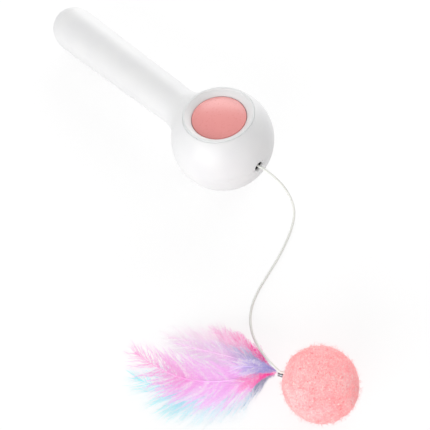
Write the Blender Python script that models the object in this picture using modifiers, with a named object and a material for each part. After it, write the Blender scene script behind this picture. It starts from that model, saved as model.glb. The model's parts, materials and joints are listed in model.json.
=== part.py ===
# Self-winding cat teaser stick: a round head with a thumb button and a spring reel inside, a grip,
# and a cord that carries a felt ball and a bunch of dyed feathers.
# Metres, +Z up. The origin is the centre of the rest flat under the head, the grip runs towards -X
# and the cord leaves the head towards +X.
import math

import bmesh
import bpy
import numpy as np
from mathutils import Matrix, Vector

# Shells
HEAD_R = 0.0300
REST_FLAT_R = 0.0100
WALL = 0.0020
GRIP_L = 0.1445
GRIP_END_R = 0.0151
GRIP_TAPER = math.radians(1.4)
NECK_FILLET_R = 0.0230
CLEARANCE = 0.0003
CUT_OVERRUN = 0.0100
MERGE_DISTANCE = 0.000001
GRIP_RIB_T = 0.0012
GRIP_RIB_SHARES = (0.33, 0.62, 0.74)
GRIP_RIB_WINDOW_R = 0.0075

# Button, its ring and its carrier
BEZEL_INSET = 0.0098
DISH_W = 0.0047
BUTTON_WALL = 0.0015
BUTTON_DOME = 0.0014
BUTTON_EDGE_R = 0.0006
BUTTON_SKIRT = 0.0046
BUTTON_TRAVEL = 0.0025
BUTTON_RECESS = 0.0023
BEZEL_LIP = 0.0008
BEZEL_DEPTH = 0.0027
BEZEL_SHOULDER_W = 0.0020
BEZEL_BEAD = 0.0006
COLLAR_W = 0.0043
COLLAR_H = 0.0025
CARRIER_PLAY = 0.0008
CARRIER_T = 0.0015
CARRIER_STEP = 0.0012
GUIDE_PIN_R = 0.0012
BUTTON_SPRING_WIRE = 0.0007
BUTTON_SPRING_PITCH = 0.00122

# Reel: the cord's plane through the eyelet is at the head's centre
CORD_D = 0.0014
WINDING_W = 0.0072
WINDING_D = 0.0030
REEL_ROOM = 0.0100
SPOOL_FLANGE_T = 0.0012
SPOOL_FLANGE_W = 0.0070
DRUM_WALL = 0.0015
SPOOL_HUB_R = 0.0040
SPRING_CUP_INSET = 0.0030
SPRING_CUP_WALL = 0.0012
SPRING_CUP_H = 0.0072
SPRING_COVER_T = 0.0008
POWER_SPRING_T = 0.0004
POWER_SPRING_TURNS = 8
AXLE_R = 0.0015
ARBOR_R = 0.0028
AXLE_SEAT = 0.0060
WASHER_R = 0.0034
WASHER_T = 0.0003
WASHER_PLAY = 0.0001
TOWER_R = 0.0045

# Bridge over the reel
BRIDGE_INSET = 0.0020
BRIDGE_T = 0.0014
BRIDGE_EAR_R = 0.0036
BRIDGE_STEP = 0.0002
SPOOL_ROOM = 0.0007
POST_R = 0.0028
POST_TIP_R = 0.0025
POST_TIP_L = 0.0030
POST_ANGLES = tuple(math.radians(a) for a in (90, 210, 330))

# Brake: a rocking lever whose pad rests on the spool
LEVER_T = 0.0018
LEVER_TIP_T = 0.0009
LEVER_RISE = 0.0007
LEVER_HUB_R = 0.0017
LEVER_HUB_INSET = 0.00015
BRAKE_PIN_R = 0.0006
BRAKE_EAR_L = 0.0032
BRAKE_EAR_RISE = 0.0012
BRAKE_SPRING_R = 0.0013
BRAKE_SPRING_WIRE = 0.0003
BRAKE_SPRING_TURNS = 2

# What stands on the bridge, as shares of the bridge's radius
CARRIER_STEM_SHARE = 0.175
BUTTON_SPRING_SHARE = 0.24375
GUIDE_PIN_SHARES = (0.5625, -0.3125)
BRIDGE_ARM_SHARE = 0.4375
LEVER_ARM_SHARE = 0.5
LEVER_PAD_ARM_SHARE = 0.375
LEVER_W_SHARE = 0.1875
LEVER_Y_SHARE = 0.58125
PAD_L_SHARE = 0.1875
PUSHER_W_SHARE = 0.1
BRAKE_EAR_SHARE = 0.0625
BRAKE_SPRING_ROOM_SHARE = 0.125

# Eyelet, trapped between the shells, and the dark liner that the cord runs through
EYELET_R = 0.0036
EYELET_LIP_STANDOFF = 0.0001
EYELET_FLARE_W = 0.0003
EYELET_FLARE_L = 0.0005
EYELET_WALL = 0.0006
EYELET_FLANGE_R = 0.0052
EYELET_FLANGE_T = 0.0010
EYELET_TAIL_L = 0.0024
LINER_DEPTH = 0.0013
LINER_WALL = 0.0008
LINER_ROUND = 0.0006
LINER_COLLAR_T = 0.0008
LINER_TRUMPET = 0.0012
CORD_JOIN_DEPTH = 0.0028
SADDLE_T = 0.0012
SADDLE_W = 0.0090

# Screws
SCREW_R = 0.0011
SCREW_HEAD_R = 0.0023
SCREW_HEAD_H = 0.0015
SCREW_SLOT_W = 0.0006
SCREW_SLOT_SHARE = 0.72
SCREW_SLOT_DEPTH = 0.0008
BOSS_R = 0.0031
BOSS_FLOOR = 0.0080
CASE_SCREW_REACH = 0.0060
CASE_BOSS_OFFSET = 0.0010
CASE_ANGLES = tuple(math.radians(a) for a in (50, -50, 130, -130))
GRIP_SCREW_SHARES = (0.48, 0.87)
BRIDGE_SCREW_REACH = 0.0080

# Toy on the cord's end
BALL_R = 0.0188
BALL_X = 0.1350
BALL_Y = -0.0643
TOY_HEADING = math.radians(209.4)
FERRULE_SINK = 0.0012
FERRULE_R = 0.0015
FERRULE_BORE_R = 0.0012
FERRULE_ROLL = 0.0002
FERRULE_SHOWN = 0.0024
FERRULE_SUNK = 0.0030
CORD_SUNK = 0.0040
BALL_CORD_RISE = 0.0025
QUILL_D = 0.0004
QUILL_RING_R = 0.00078
QUILL_SUNK = 0.0020
QUILL_BARE_L = 0.0080
FEATHER_T = 0.0004
FEATHER_LAYER = 0.0015
FEATHER_REST_Z = 0.0062
FEATHER_DROOP_L = 0.0500
FEATHER_SPREAD_L = 0.0110

# The free cord's route on the floor and up to the toy, chosen by hand
CORD_ROUTE = (
    (0.0338, 0.0007, 0.0312), (0.0394, 0.0024, 0.0280), (0.0445, 0.0044, 0.0220), (0.0487, 0.0056, 0.0147),
    (0.0519, 0.0056, 0.0081), (0.0551, 0.0034, 0.0031), (0.0589, -0.0024, 0.0010), (0.0630, -0.0112, 0.0008),
    (0.0671, -0.0226, 0.0008), (0.0702, -0.0338, 0.0008), (0.0730, -0.0438, 0.0008),
    (0.0767, -0.0527, 0.0009), (0.0819, -0.0597, 0.0016), (0.0884, -0.0651, 0.0046),
    (0.0960, -0.0693, 0.0097), (0.1042, -0.0725, 0.0156), (0.1108, -0.0741, 0.0199),
)
CORD_STEP = 0.0035
LEAD_BEND_SHARES = (0.25, 0.025)
LEAD_STRAIGHT_SHARE = 0.33

# Sizes that follow from the ones above
HEAD_Z = math.sqrt(HEAD_R**2 - REST_FLAT_R**2)
TILT = math.asin((HEAD_Z - GRIP_END_R) / GRIP_L)
BEZEL_R = HEAD_R - BEZEL_INSET
BUTTON_R = BEZEL_R - DISH_W
BEZEL_SKIRT_R = BEZEL_R - BEZEL_SHOULDER_W
COLLAR_R = BEZEL_SKIRT_R + COLLAR_W
CASE_RING_R = COLLAR_R + CASE_BOSS_OFFSET
CARRIER_R = BEZEL_SKIRT_R - CARRIER_PLAY
SPOOL_R = HEAD_R - WALL - REEL_ROOM
DRUM_R = SPOOL_R - SPOOL_FLANGE_W
SPRING_CUP_R = SPOOL_R - SPRING_CUP_INSET
POST_RING_R = SPOOL_R + SPOOL_ROOM + POST_R
BRIDGE_R = SPOOL_R - BRIDGE_INSET
BRIDGE_ARM_W = BRIDGE_R * BRIDGE_ARM_SHARE
CARRIER_STEM_R = BRIDGE_R * CARRIER_STEM_SHARE
BUTTON_SPRING_R = BRIDGE_R * BUTTON_SPRING_SHARE
LEVER_ARM = BRIDGE_R * LEVER_ARM_SHARE
LEVER_PAD_ARM = BRIDGE_R * LEVER_PAD_ARM_SHARE
LEVER_W = BRIDGE_R * LEVER_W_SHARE
LEVER_Y = BRIDGE_R * LEVER_Y_SHARE
PAD_L = BRIDGE_R * PAD_L_SHARE
PUSHER_W = BRIDGE_R * PUSHER_W_SHARE
BRAKE_EAR_T = BRIDGE_R * BRAKE_EAR_SHARE
BRAKE_SPRING_ROOM = BRIDGE_R * BRAKE_SPRING_ROOM_SHARE
LIP_Z = math.sqrt(HEAD_R**2 - BEZEL_R**2) - CLEARANCE
BUTTON_RIM_Z = LIP_Z - BUTTON_RECESS
BUTTON_BOTTOM = BUTTON_RIM_Z - BUTTON_SKIRT
BUTTON_CEILING = BUTTON_RIM_Z - BUTTON_WALL
BEZEL_SHOULDER = LIP_Z - BEZEL_DEPTH
COLLAR_TOP = BEZEL_SHOULDER - CLEARANCE
CARRIER_TOP = BUTTON_BOTTOM - CLEARANCE
CARRIER_BOTTOM = CARRIER_TOP - CARRIER_T
SPOOL_TOP = WINDING_W / 2 + SPOOL_FLANGE_T
SPOOL_BOTTOM = -SPOOL_TOP - SPRING_CUP_H
BRIDGE_BOTTOM = SPOOL_TOP + 2 * WASHER_PLAY + 2 * WASHER_T
BRIDGE_TOP = BRIDGE_BOTTOM + BRIDGE_T
CARRIER_STEM_L = CARRIER_BOTTOM - BRIDGE_TOP - BUTTON_TRAVEL - CLEARANCE
GUIDE_PIN_TOP = BUTTON_CEILING - BUTTON_TRAVEL - CLEARANCE
COVER_BOTTOM = SPOOL_BOTTOM - CLEARANCE - SPRING_COVER_T
TOWER_TOP = COVER_BOTTOM - CLEARANCE
PIVOT_Z = BRIDGE_TOP + LEVER_RISE + LEVER_T / 2
LEVER_TOP = PIVOT_Z + LEVER_T / 2
PAD_BOTTOM = SPOOL_TOP + CLEARANCE
PAD_TOP = PIVOT_Z - LEVER_T / 2 - CLEARANCE
WELL_TOP = -BOSS_FLOOR
EYELET_FACE = math.sqrt(HEAD_R**2 - EYELET_R**2) + EYELET_LIP_STANDOFF
EYELET_THROAT = EYELET_FACE - EYELET_FLARE_L
EYELET_BORE_R = EYELET_R - EYELET_WALL
EYELET_FLARE_R = EYELET_BORE_R + EYELET_FLARE_W
CORD_JOIN = EYELET_FACE - CORD_JOIN_DEPTH
LINER_R = EYELET_BORE_R - CLEARANCE
FLANGE_FRONT = math.sqrt((HEAD_R - WALL) ** 2 - EYELET_FLANGE_R**2) - CLEARANCE
FLANGE_BACK = FLANGE_FRONT - EYELET_FLANGE_T
SADDLE_FRONT = FLANGE_BACK - CLEARANCE
EYELET_TAIL = FLANGE_BACK - EYELET_TAIL_L
FERRULE_Z = BALL_R - FERRULE_SINK
FERRULE_MOUTH = BALL_R + FERRULE_SHOWN

WHITE = (0.87, 0.87, 0.87)
INNER_WHITE = (0.78, 0.78, 0.77)
STEEL = (0.62, 0.62, 0.64)


def new_material(name, colour, roughness, metallic=0.0):
    material = bpy.data.materials.new(name)
    material.use_nodes = True
    shader = material.node_tree.nodes["Principled BSDF"]
    shader.inputs["Base Color"].default_value = (*colour, 1.0)
    shader.inputs["Roughness"].default_value = roughness
    shader.inputs["Metallic"].default_value = metallic
    return material


def add_object(name, data, parent=None, material=None, cutter=False):
    """Links an object, in the part's collection or, for a cutter, in the one that isn't rendered."""
    obj = bpy.data.objects.new(name, data)
    (CUTTERS if cutter else PARTS).objects.link(obj)
    obj.parent = parent
    if cutter:
        obj.hide_render = True
        obj.display_type = "WIRE"
    if material is not None:
        data.materials.append(material)
    return obj


def smooth(obj, degrees=35):
    obj.data.shade_smooth()
    obj.data.set_sharp_from_angle(angle=math.radians(degrees))


def turned(name, profile, parent, material=None, steps=32, cutter=False, closed=True, start=0.0):
    """A turned solid about the object's Z. The profile's (radius, height) points run from the top down
    the outer side; a closed one is a ring, and an open one ends on the axis. Its facets begin at start."""
    mesh = bpy.data.meshes.new(name)
    count = len(profile)
    edges = [(i, i + 1) for i in range(count - 1)] + ([(count - 1, 0)] if closed else [])
    mesh.from_pydata([(r * math.cos(start), r * math.sin(start), z) for r, z in profile], edges, [])
    obj = add_object(name, mesh, parent, material, cutter)
    screw = obj.modifiers.new("turn", "SCREW")
    screw.axis = "Z"
    screw.steps = screw.render_steps = steps
    screw.use_merge_vertices = True
    screw.merge_threshold = MERGE_DISTANCE
    screw.use_smooth_shade = True
    return obj


def cylinder_mesh(name, radius, low, high, steps=12, places=((0, 0),)):
    """One mesh with an upright cylinder at each (x, y) place."""
    bm = bmesh.new()
    for x, y in places:
        matrix = Matrix.Translation((x, y, (low + high) / 2))
        bmesh.ops.create_cone(
            bm, cap_ends=True, segments=steps, radius1=radius, radius2=radius, depth=high - low, matrix=matrix
        )
    mesh = bpy.data.meshes.new(name)
    bm.to_mesh(mesh)
    bm.free()
    return mesh


def box_mesh(name, low, high):
    bm = bmesh.new()
    size = Vector(high) - Vector(low)
    matrix = Matrix.Translation((Vector(low) + Vector(high)) / 2) @ Matrix.Diagonal((*size, 1))
    bmesh.ops.create_cube(bm, size=1, matrix=matrix)
    mesh = bpy.data.meshes.new(name)
    bm.to_mesh(mesh)
    bm.free()
    return mesh


def combine(obj, tool, operation):
    modifier = obj.modifiers.new(operation.lower(), "BOOLEAN")
    modifier.operation = operation
    modifier.object = tool
    return tool


def cylinder_cutter(obj, name, radius, low, high, operation="DIFFERENCE", places=((0, 0),), steps=12):
    mesh = cylinder_mesh(name, radius, low, high, steps, places)
    return combine(obj, add_object(name, mesh, obj.parent, cutter=True), operation)


def box_cutter(obj, name, low, high, operation="DIFFERENCE", parent=None):
    tool = add_object(name, box_mesh(name, low, high), parent or obj.parent, cutter=True)
    return combine(obj, tool, operation)


def evaluated_mesh(obj):
    bpy.context.view_layer.update()
    return bpy.data.meshes.new_from_object(obj.evaluated_get(bpy.context.evaluated_depsgraph_get()))


def wire(name, points, diameter, parent, material, resolution=2):
    """A round wire or cord through these points, with filled ends."""
    curve = bpy.data.curves.new(name, "CURVE")
    curve.dimensions = "3D"
    curve.bevel_depth = diameter / 2
    curve.bevel_resolution = resolution
    curve.use_fill_caps = True
    spline = curve.splines.new("POLY")
    spline.points.add(len(points) - 1)
    for point, place in zip(spline.points, points):
        point.co = (*place, 1.0)
    return add_object(name, curve, parent, material)


def arc(centre, radius, start, end, steps):
    """(radius, height) points on an arc in the profile's plane, with both ends."""
    angles = np.linspace(start, end, steps + 1)
    return [(centre[0] + radius * math.cos(a), centre[1] + radius * math.sin(a)) for a in angles]


def on_ring(radius, angles):
    return [(radius * math.cos(a), radius * math.sin(a)) for a in angles]


def smooth_points(route, step):
    """Evenly spaced points on a smooth curve through the route's own points."""
    points = np.array(route, dtype=float)
    padded = np.vstack([2 * points[0] - points[1], points, 2 * points[-1] - points[-2]])
    dense = []
    for a, b, c, d in zip(padded, padded[1:], padded[2:], padded[3:]):
        for t in np.linspace(0, 1, 24, endpoint=False):
            dense.append(b + t * (c - a) / 2 + t**2 * (a - 2.5 * b + 2 * c - d / 2) + t**3 * (
                1.5 * b - a / 2 - 1.5 * c + d / 2))
    dense = np.array([*dense, points[-1]])
    travelled = np.concatenate([[0], np.cumsum(np.linalg.norm(np.diff(dense, axis=0), axis=1))])
    count = max(2, round(travelled[-1] / step))
    return [
        tuple(np.interp(s, travelled, dense[:, axis]) for axis in range(3))
        for s in np.linspace(0, travelled[-1], count + 1)
    ]


def wand_profile(offset):
    """The wand's outline about its own axis, from the eyelet's pole to the grip's end, moved inwards by
    offset. The heights run along the axis: the head's centre is at zero and the grip is below it."""
    slope = math.tan(GRIP_TAPER)
    end_r = GRIP_END_R - offset
    head_r = HEAD_R - offset
    fillet_r = NECK_FILLET_R + offset
    # The grip's straight side is r = side - slope * s, where it touches the end's circle
    side = end_r / math.cos(GRIP_TAPER) - slope * GRIP_L
    raised = side + fillet_r / math.cos(GRIP_TAPER)
    a, b, c = 1 + slope**2, -2 * slope * raised, raised**2 - (head_r + fillet_r) ** 2
    centre_s = (-b - math.sqrt(b * b - 4 * a * c)) / (2 * a)
    centre = (raised - slope * centre_s, centre_s)
    meet = math.atan2(centre[1], centre[0])
    head = arc((0, 0), head_r, math.pi / 2, meet, 11)
    neck = arc(centre, fillet_r, meet + math.pi, math.pi + GRIP_TAPER, 4)
    end = arc((0, -GRIP_L), end_r, GRIP_TAPER, -math.pi / 2, 5)
    points = head + neck[1:] + end
    return [(0, points[0][1]), *points[1:-1], (0, points[-1][1])]


def wand_solid(name, offset, cutter=True):
    """The wand's whole outline as a solid, turned about the grip's axis."""
    steps = 28
    obj = turned(
        name, wand_profile(offset), HEAD, steps=steps, cutter=cutter, closed=False, start=math.pi / steps)
    obj.rotation_euler = (0, math.pi / 2, 0)
    return obj


def grip_places():
    return [(-share * GRIP_L, 0) for share in GRIP_SCREW_SHARES]


def shell_cavity(name, low, high):
    """The space inside the shells between two heights, less the bosses and ribs that stand in it."""
    cavity = wand_solid(name, WALL)
    bosses = on_ring(CASE_RING_R, CASE_ANGLES) + grip_places()
    tool = cylinder_cutter(cavity, name + "_bosses", BOSS_R, low, high, places=bosses)
    tool.parent = HEAD
    saddle_low = (SADDLE_FRONT - SADDLE_T, -SADDLE_W / 2, low)
    box_cutter(cavity, name + "_saddle", saddle_low, (SADDLE_FRONT, SADDLE_W / 2, high))
    for index, share in enumerate(GRIP_RIB_SHARES):
        rib = ring_rib(f"{name}_rib_{index}", -share * GRIP_L)
        combine(cavity, rib, "DIFFERENCE")
    return cavity


def ring_rib(name, place):
    """A rib across the grip with a round window in it."""
    outer, half = HEAD_R, GRIP_RIB_T / 2
    profile = [
        (GRIP_RIB_WINDOW_R, place + half), (outer, place + half), (outer, place - half),
        (GRIP_RIB_WINDOW_R, place - half),
    ]
    rib = turned(name, profile, HEAD, steps=10, cutter=True)
    rib.rotation_euler = (0, math.pi / 2, 0)
    return rib


def shell_half(name, low, high, cavity):
    """One half of the shells: the outline between two heights, hollowed, with the eyelet's hole."""
    shell = wand_solid(name, 0, cutter=False)
    shell.data.materials.append(WHITE_PLASTIC)
    reach = GRIP_L + HEAD_R + CUT_OVERRUN
    box_cutter(shell, name + "_half", (-reach, -reach, low), (reach, reach, high), "INTERSECT")
    combine(shell, cavity, "DIFFERENCE")
    hole = cylinder_cutter(
        shell, name + "_eyelet_hole", EYELET_R + CLEARANCE, FLANGE_BACK, HEAD_R + CUT_OVERRUN, steps=32)
    saddle = cylinder_cutter(
        shell, name + "_saddle_hole", EYELET_R + CLEARANCE, SADDLE_FRONT - SADDLE_T - CLEARANCE,
        SADDLE_FRONT + CLEARANCE)
    for tool in (hole, saddle):
        tool.rotation_euler = (0, math.pi / 2, 0)
    return shell


def build_shells():
    half_gap = CLEARANCE / 2
    upper_cavity = shell_cavity("upper_cavity", -HEAD_R, HEAD_R)
    collar = turned(
        "collar_keep",
        [
            (BEZEL_SKIRT_R + CLEARANCE, COLLAR_TOP), (COLLAR_R, COLLAR_TOP),
            (COLLAR_R, COLLAR_TOP - COLLAR_H), (BEZEL_SKIRT_R + CLEARANCE, COLLAR_TOP - COLLAR_H),
        ],
        HEAD, cutter=True)
    combine(upper_cavity, collar, "DIFFERENCE")
    upper = shell_half("upper_shell", half_gap, HEAD_R + CUT_OVERRUN, upper_cavity)
    cylinder_cutter(
        upper, "button_hole", BEZEL_R + CLEARANCE, COLLAR_TOP, HEAD_R + CUT_OVERRUN, steps=48)
    screws = on_ring(CASE_RING_R, CASE_ANGLES) + grip_places()
    hole_top = CASE_SCREW_REACH + 2 * CLEARANCE
    cylinder_cutter(upper, "upper_screw_holes", SCREW_R + CLEARANCE, -CLEARANCE, hole_top, places=screws)
    smooth(upper)

    lower_cavity = shell_cavity("lower_cavity", -HEAD_R, HEAD_R)
    floor = (-HEAD_R, -HEAD_R, -HEAD_R), (HEAD_R, HEAD_R, WALL)
    box_cutter(lower_cavity, "floor_keep", *floor, parent=WORLD)
    posts = on_ring(POST_RING_R, POST_ANGLES)
    cylinder_cutter(lower_cavity, "posts_keep", POST_R, -HEAD_R, HEAD_R, places=posts)
    cylinder_cutter(lower_cavity, "tower_keep", TOWER_R, -HEAD_R, TOWER_TOP)
    lower = shell_half("lower_shell", -HEAD_R - CUT_OVERRUN, -half_gap, lower_cavity)
    under = (-HEAD_R, -HEAD_R, -HEAD_R), (HEAD_R, HEAD_R, 0)
    box_cutter(lower, "rest_flat_cut", *under, parent=WORLD)
    post_top = BRIDGE_BOTTOM - CLEARANCE
    cylinder_cutter(lower, "post_tips", POST_TIP_R, -POST_TIP_L, post_top, "UNION", posts)
    hole_bottom = BRIDGE_TOP + CLEARANCE - BRIDGE_SCREW_REACH - CLEARANCE
    cylinder_cutter(
        lower, "post_holes", SCREW_R + CLEARANCE, hole_bottom, post_top + CLEARANCE, places=posts)
    cylinder_cutter(lower, "lower_screw_holes", SCREW_R + CLEARANCE, -HEAD_R, 0, places=screws)
    cylinder_cutter(
        lower, "screw_wells", SCREW_HEAD_R + 2 * CLEARANCE, -HEAD_R - CUT_OVERRUN, WELL_TOP, places=screws)
    cylinder_cutter(
        lower, "axle_seat", AXLE_R + CLEARANCE, TOWER_TOP - AXLE_SEAT - CLEARANCE, TOWER_TOP + CLEARANCE)
    smooth(lower)


def build_bezel():
    inner = BUTTON_R + CLEARANCE
    dish_top = BEZEL_R - BEZEL_LIP
    bottom = CARRIER_TOP + CLEARANCE
    bead_top = COLLAR_TOP - COLLAR_H - CLEARANCE
    lip = arc((BEZEL_R - BEZEL_LIP / 2, LIP_Z - BEZEL_LIP / 2), BEZEL_LIP / 2, math.pi, 0, 6)
    profile = [
        *lip,
        (BEZEL_R, BEZEL_SHOULDER), (BEZEL_SKIRT_R, BEZEL_SHOULDER),
        (BEZEL_SKIRT_R, bead_top), (BEZEL_SKIRT_R + BEZEL_BEAD, bead_top - BEZEL_BEAD / 2),
        (BEZEL_SKIRT_R + BEZEL_BEAD, bottom + BEZEL_BEAD / 2), (BEZEL_SKIRT_R, bottom),
        (inner, bottom), (inner, BUTTON_RIM_Z), (dish_top, LIP_Z - BEZEL_LIP),
    ]
    turned("bezel_ring", profile, HEAD, WHITE_PLASTIC)


def build_button():
    dome_r = BUTTON_R - BUTTON_EDGE_R
    sphere_r = (dome_r**2 + BUTTON_DOME**2) / (2 * BUTTON_DOME)
    half_angle = math.asin(dome_r / sphere_r)
    dome = arc((0, BUTTON_RIM_Z + BUTTON_DOME - sphere_r), sphere_r, math.pi / 2, math.pi / 2 - half_angle, 5)
    edge = arc((dome_r, BUTTON_RIM_Z - BUTTON_EDGE_R), BUTTON_EDGE_R, math.pi / 2 - half_angle, 0, 3)
    inner = BUTTON_R - BUTTON_WALL
    profile = [
        (0, dome[0][1]), *dome[1:], *edge[1:],
        (BUTTON_R, BUTTON_BOTTOM), (inner, BUTTON_BOTTOM), (inner, BUTTON_CEILING),
        (0, BUTTON_CEILING + BUTTON_DOME / 2),
    ]
    turned("button_cap", profile, BUTTON, PINK_PLASTIC, closed=False)

    step_r = inner - CLEARANCE
    step_top = CARRIER_TOP + CARRIER_STEP
    profile = [
        (0, step_top), (step_r, step_top), (step_r, CARRIER_TOP), (CARRIER_R, CARRIER_TOP),
        (CARRIER_R, CARRIER_BOTTOM), (CARRIER_STEM_R, CARRIER_BOTTOM),
        (CARRIER_STEM_R, CARRIER_BOTTOM - CARRIER_STEM_L), (0, CARRIER_BOTTOM - CARRIER_STEM_L),
    ]
    carrier = turned("button_carrier", profile, BUTTON, INNER_PLASTIC, closed=False)
    half = PUSHER_W / 2
    pusher_x = LEVER_ARM + half
    box_cutter(
        carrier, "pusher",
        (pusher_x - half, LEVER_Y - LEVER_W / 2, LEVER_TOP + CLEARANCE),
        (pusher_x + half, LEVER_Y + LEVER_W / 2, CARRIER_BOTTOM + CARRIER_T / 2), "UNION")
    room = 2 * CLEARANCE
    box_cutter(
        carrier, "lever_room",
        (-LEVER_PAD_ARM - PAD_L / 2 - 3 * room, LEVER_Y - LEVER_W / 2 - room, CARRIER_BOTTOM - CUT_OVERRUN),
        (-CARRIER_STEM_R, LEVER_Y + LEVER_W / 2 + room, step_top + CUT_OVERRUN))
    cylinder_cutter(
        carrier, "guide_holes", GUIDE_PIN_R + CLEARANCE, CARRIER_BOTTOM - CUT_OVERRUN,
        step_top + CUT_OVERRUN, places=guide_places())

    low = BRIDGE_TOP + CLEARANCE + BUTTON_SPRING_WIRE / 2
    high = CARRIER_BOTTOM - CLEARANCE - BUTTON_SPRING_WIRE / 2
    coil = []
    per_turn = 10
    turns = round((high - low) / BUTTON_SPRING_PITCH)
    for i in range(turns * per_turn + 1):
        turn = 2 * math.pi * i / per_turn
        height = low + (high - low) * i / (turns * per_turn)
        coil.append((BUTTON_SPRING_R * math.cos(turn), BUTTON_SPRING_R * math.sin(turn), height))
    wire("button_spring", coil, BUTTON_SPRING_WIRE, HEAD, STEEL_WIRE, resolution=1)


def guide_places():
    x, y = (BRIDGE_R * share for share in GUIDE_PIN_SHARES)
    return [(x, y), (-x, y)]


def build_bridge():
    hole = AXLE_R + CLEARANCE
    profile = [(hole, BRIDGE_TOP), (BRIDGE_R, BRIDGE_TOP), (BRIDGE_R, BRIDGE_BOTTOM), (hole, BRIDGE_BOTTOM)]
    bridge = turned("bridge_plate", profile, HEAD, INNER_PLASTIC)
    posts = on_ring(POST_RING_R, POST_ANGLES)
    for index, angle in enumerate(POST_ANGLES):
        arm = box_cutter(
            bridge, f"bridge_arm_{index}", (BRIDGE_R / 2, -BRIDGE_ARM_W / 2, BRIDGE_BOTTOM + BRIDGE_STEP),
            (POST_RING_R, BRIDGE_ARM_W / 2, BRIDGE_TOP - BRIDGE_STEP), "UNION")
        arm.rotation_euler = (0, 0, angle)
    cylinder_cutter(bridge, "bridge_ears", BRIDGE_EAR_R, BRIDGE_BOTTOM, BRIDGE_TOP, "UNION", posts)
    room = 2 * CLEARANCE
    ear_low, ear_high = brake_ears()
    box_cutter(
        bridge, "brake_window",
        (-LEVER_PAD_ARM - PAD_L / 2 - room, ear_low + BRAKE_EAR_T, BRIDGE_BOTTOM - CUT_OVERRUN),
        (LEVER_ARM + PUSHER_W + room, ear_high, BRIDGE_TOP + CUT_OVERRUN))
    for name, low in (("ear_near", ear_low), ("ear_far", ear_high)):
        box_cutter(
            bridge, name, (-BRAKE_EAR_L / 2, low, BRIDGE_BOTTOM + BRIDGE_STEP),
            (BRAKE_EAR_L / 2, low + BRAKE_EAR_T, PIVOT_Z + BRAKE_EAR_RISE), "UNION")
    pin_hole = cylinder_cutter(
        bridge, "pin_hole", BRAKE_PIN_R + CLEARANCE, ear_low - CLEARANCE, ear_high + BRAKE_EAR_T + CLEARANCE)
    lay_along_y(pin_hole)
    cylinder_cutter(
        bridge, "bridge_screw_holes", SCREW_R + CLEARANCE, BRIDGE_BOTTOM - CLEARANCE,
        BRIDGE_TOP + CLEARANCE, places=posts)
    cylinder_cutter(
        bridge, "guide_pins", GUIDE_PIN_R, BRIDGE_BOTTOM + BRIDGE_STEP, GUIDE_PIN_TOP, "UNION",
        guide_places(), steps=16)


def brake_ears():
    """The near sides, along Y, of the two ears that hold the brake's pin."""
    lever_low = LEVER_Y - LEVER_W / 2
    far = LEVER_Y + LEVER_W / 2 + CLEARANCE
    return lever_low - BRAKE_SPRING_ROOM - BRAKE_EAR_T, far


def lay_along_y(obj):
    """Turns a tool made along Z so that it lies along Y at the brake's pivot."""
    obj.rotation_euler = (-math.pi / 2, 0, 0)
    obj.location = (0, 0, PIVOT_Z)


def build_brake():
    half = LEVER_T / 2
    tip = LEVER_ARM + PUSHER_W
    heel = -LEVER_PAD_ARM - PAD_L / 2
    outline = [(heel, -half), (heel, half), (tip, half), (tip, half - LEVER_TIP_T), (LEVER_T, -half)]
    bm = bmesh.new()
    face = bm.faces.new([bm.verts.new((x, LEVER_Y - LEVER_W / 2, z)) for x, z in outline])
    grown = bmesh.ops.extrude_face_region(bm, geom=[face])
    moved = [item for item in grown["geom"] if isinstance(item, bmesh.types.BMVert)]
    bmesh.ops.translate(bm, verts=moved, vec=(0, LEVER_W, 0))
    bmesh.ops.recalc_face_normals(bm, faces=bm.faces)
    mesh = bpy.data.meshes.new("brake_lever")
    bm.to_mesh(mesh)
    bm.free()
    lever = add_object("brake_lever", mesh, BRAKE, INNER_PLASTIC)
    hub_half = LEVER_W / 2 - LEVER_HUB_INSET
    hub = cylinder_cutter(lever, "lever_hub", LEVER_HUB_R, LEVER_Y - hub_half, LEVER_Y + hub_half, "UNION")
    hole = cylinder_cutter(
        lever, "lever_hole", BRAKE_PIN_R + CLEARANCE, LEVER_Y - LEVER_W, LEVER_Y + LEVER_W)
    for tool in (hub, hole):
        tool.rotation_euler = (-math.pi / 2, 0, 0)

    pad = box_mesh(
        "brake_pad",
        (-LEVER_PAD_ARM - PAD_L / 2, LEVER_Y - LEVER_W / 2, PAD_BOTTOM - PIVOT_Z),
        (-LEVER_PAD_ARM + PAD_L / 2, LEVER_Y + LEVER_W / 2, PAD_TOP - PIVOT_Z))
    add_object("brake_pad", pad, BRAKE, RUBBER)

    ear_low, ear_high = brake_ears()
    pin = add_object(
        "brake_pin", cylinder_mesh("brake_pin", BRAKE_PIN_R, ear_low, ear_high + BRAKE_EAR_T, 16), HEAD,
        STEEL_WIRE)
    lay_along_y(pin)
    smooth(pin)

    # The torsion spring stands on the pin beside the lever, with one leg on the bridge
    centre = LEVER_Y - LEVER_W / 2 - BRAKE_SPRING_ROOM / 2
    span = BRAKE_SPRING_ROOM - BRAKE_SPRING_WIRE - CLEARANCE
    per_turn = 10
    coil = []
    for i in range(BRAKE_SPRING_TURNS * per_turn + 1):
        turn = 2 * math.pi * i / per_turn
        y = centre + span * (i / (BRAKE_SPRING_TURNS * per_turn) - 1 / 2)
        coil.append((BRAKE_SPRING_R * math.sin(turn), y, PIVOT_Z - BRAKE_SPRING_R * math.cos(turn)))
    leg = (-LEVER_PAD_ARM / 2, coil[0][1], coil[0][2])
    other = (LEVER_PAD_ARM / 2, coil[-1][1], coil[-1][2])
    wire("brake_spring", [leg, *coil, other], BRAKE_SPRING_WIRE, HEAD, STEEL_WIRE, resolution=1)


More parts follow.
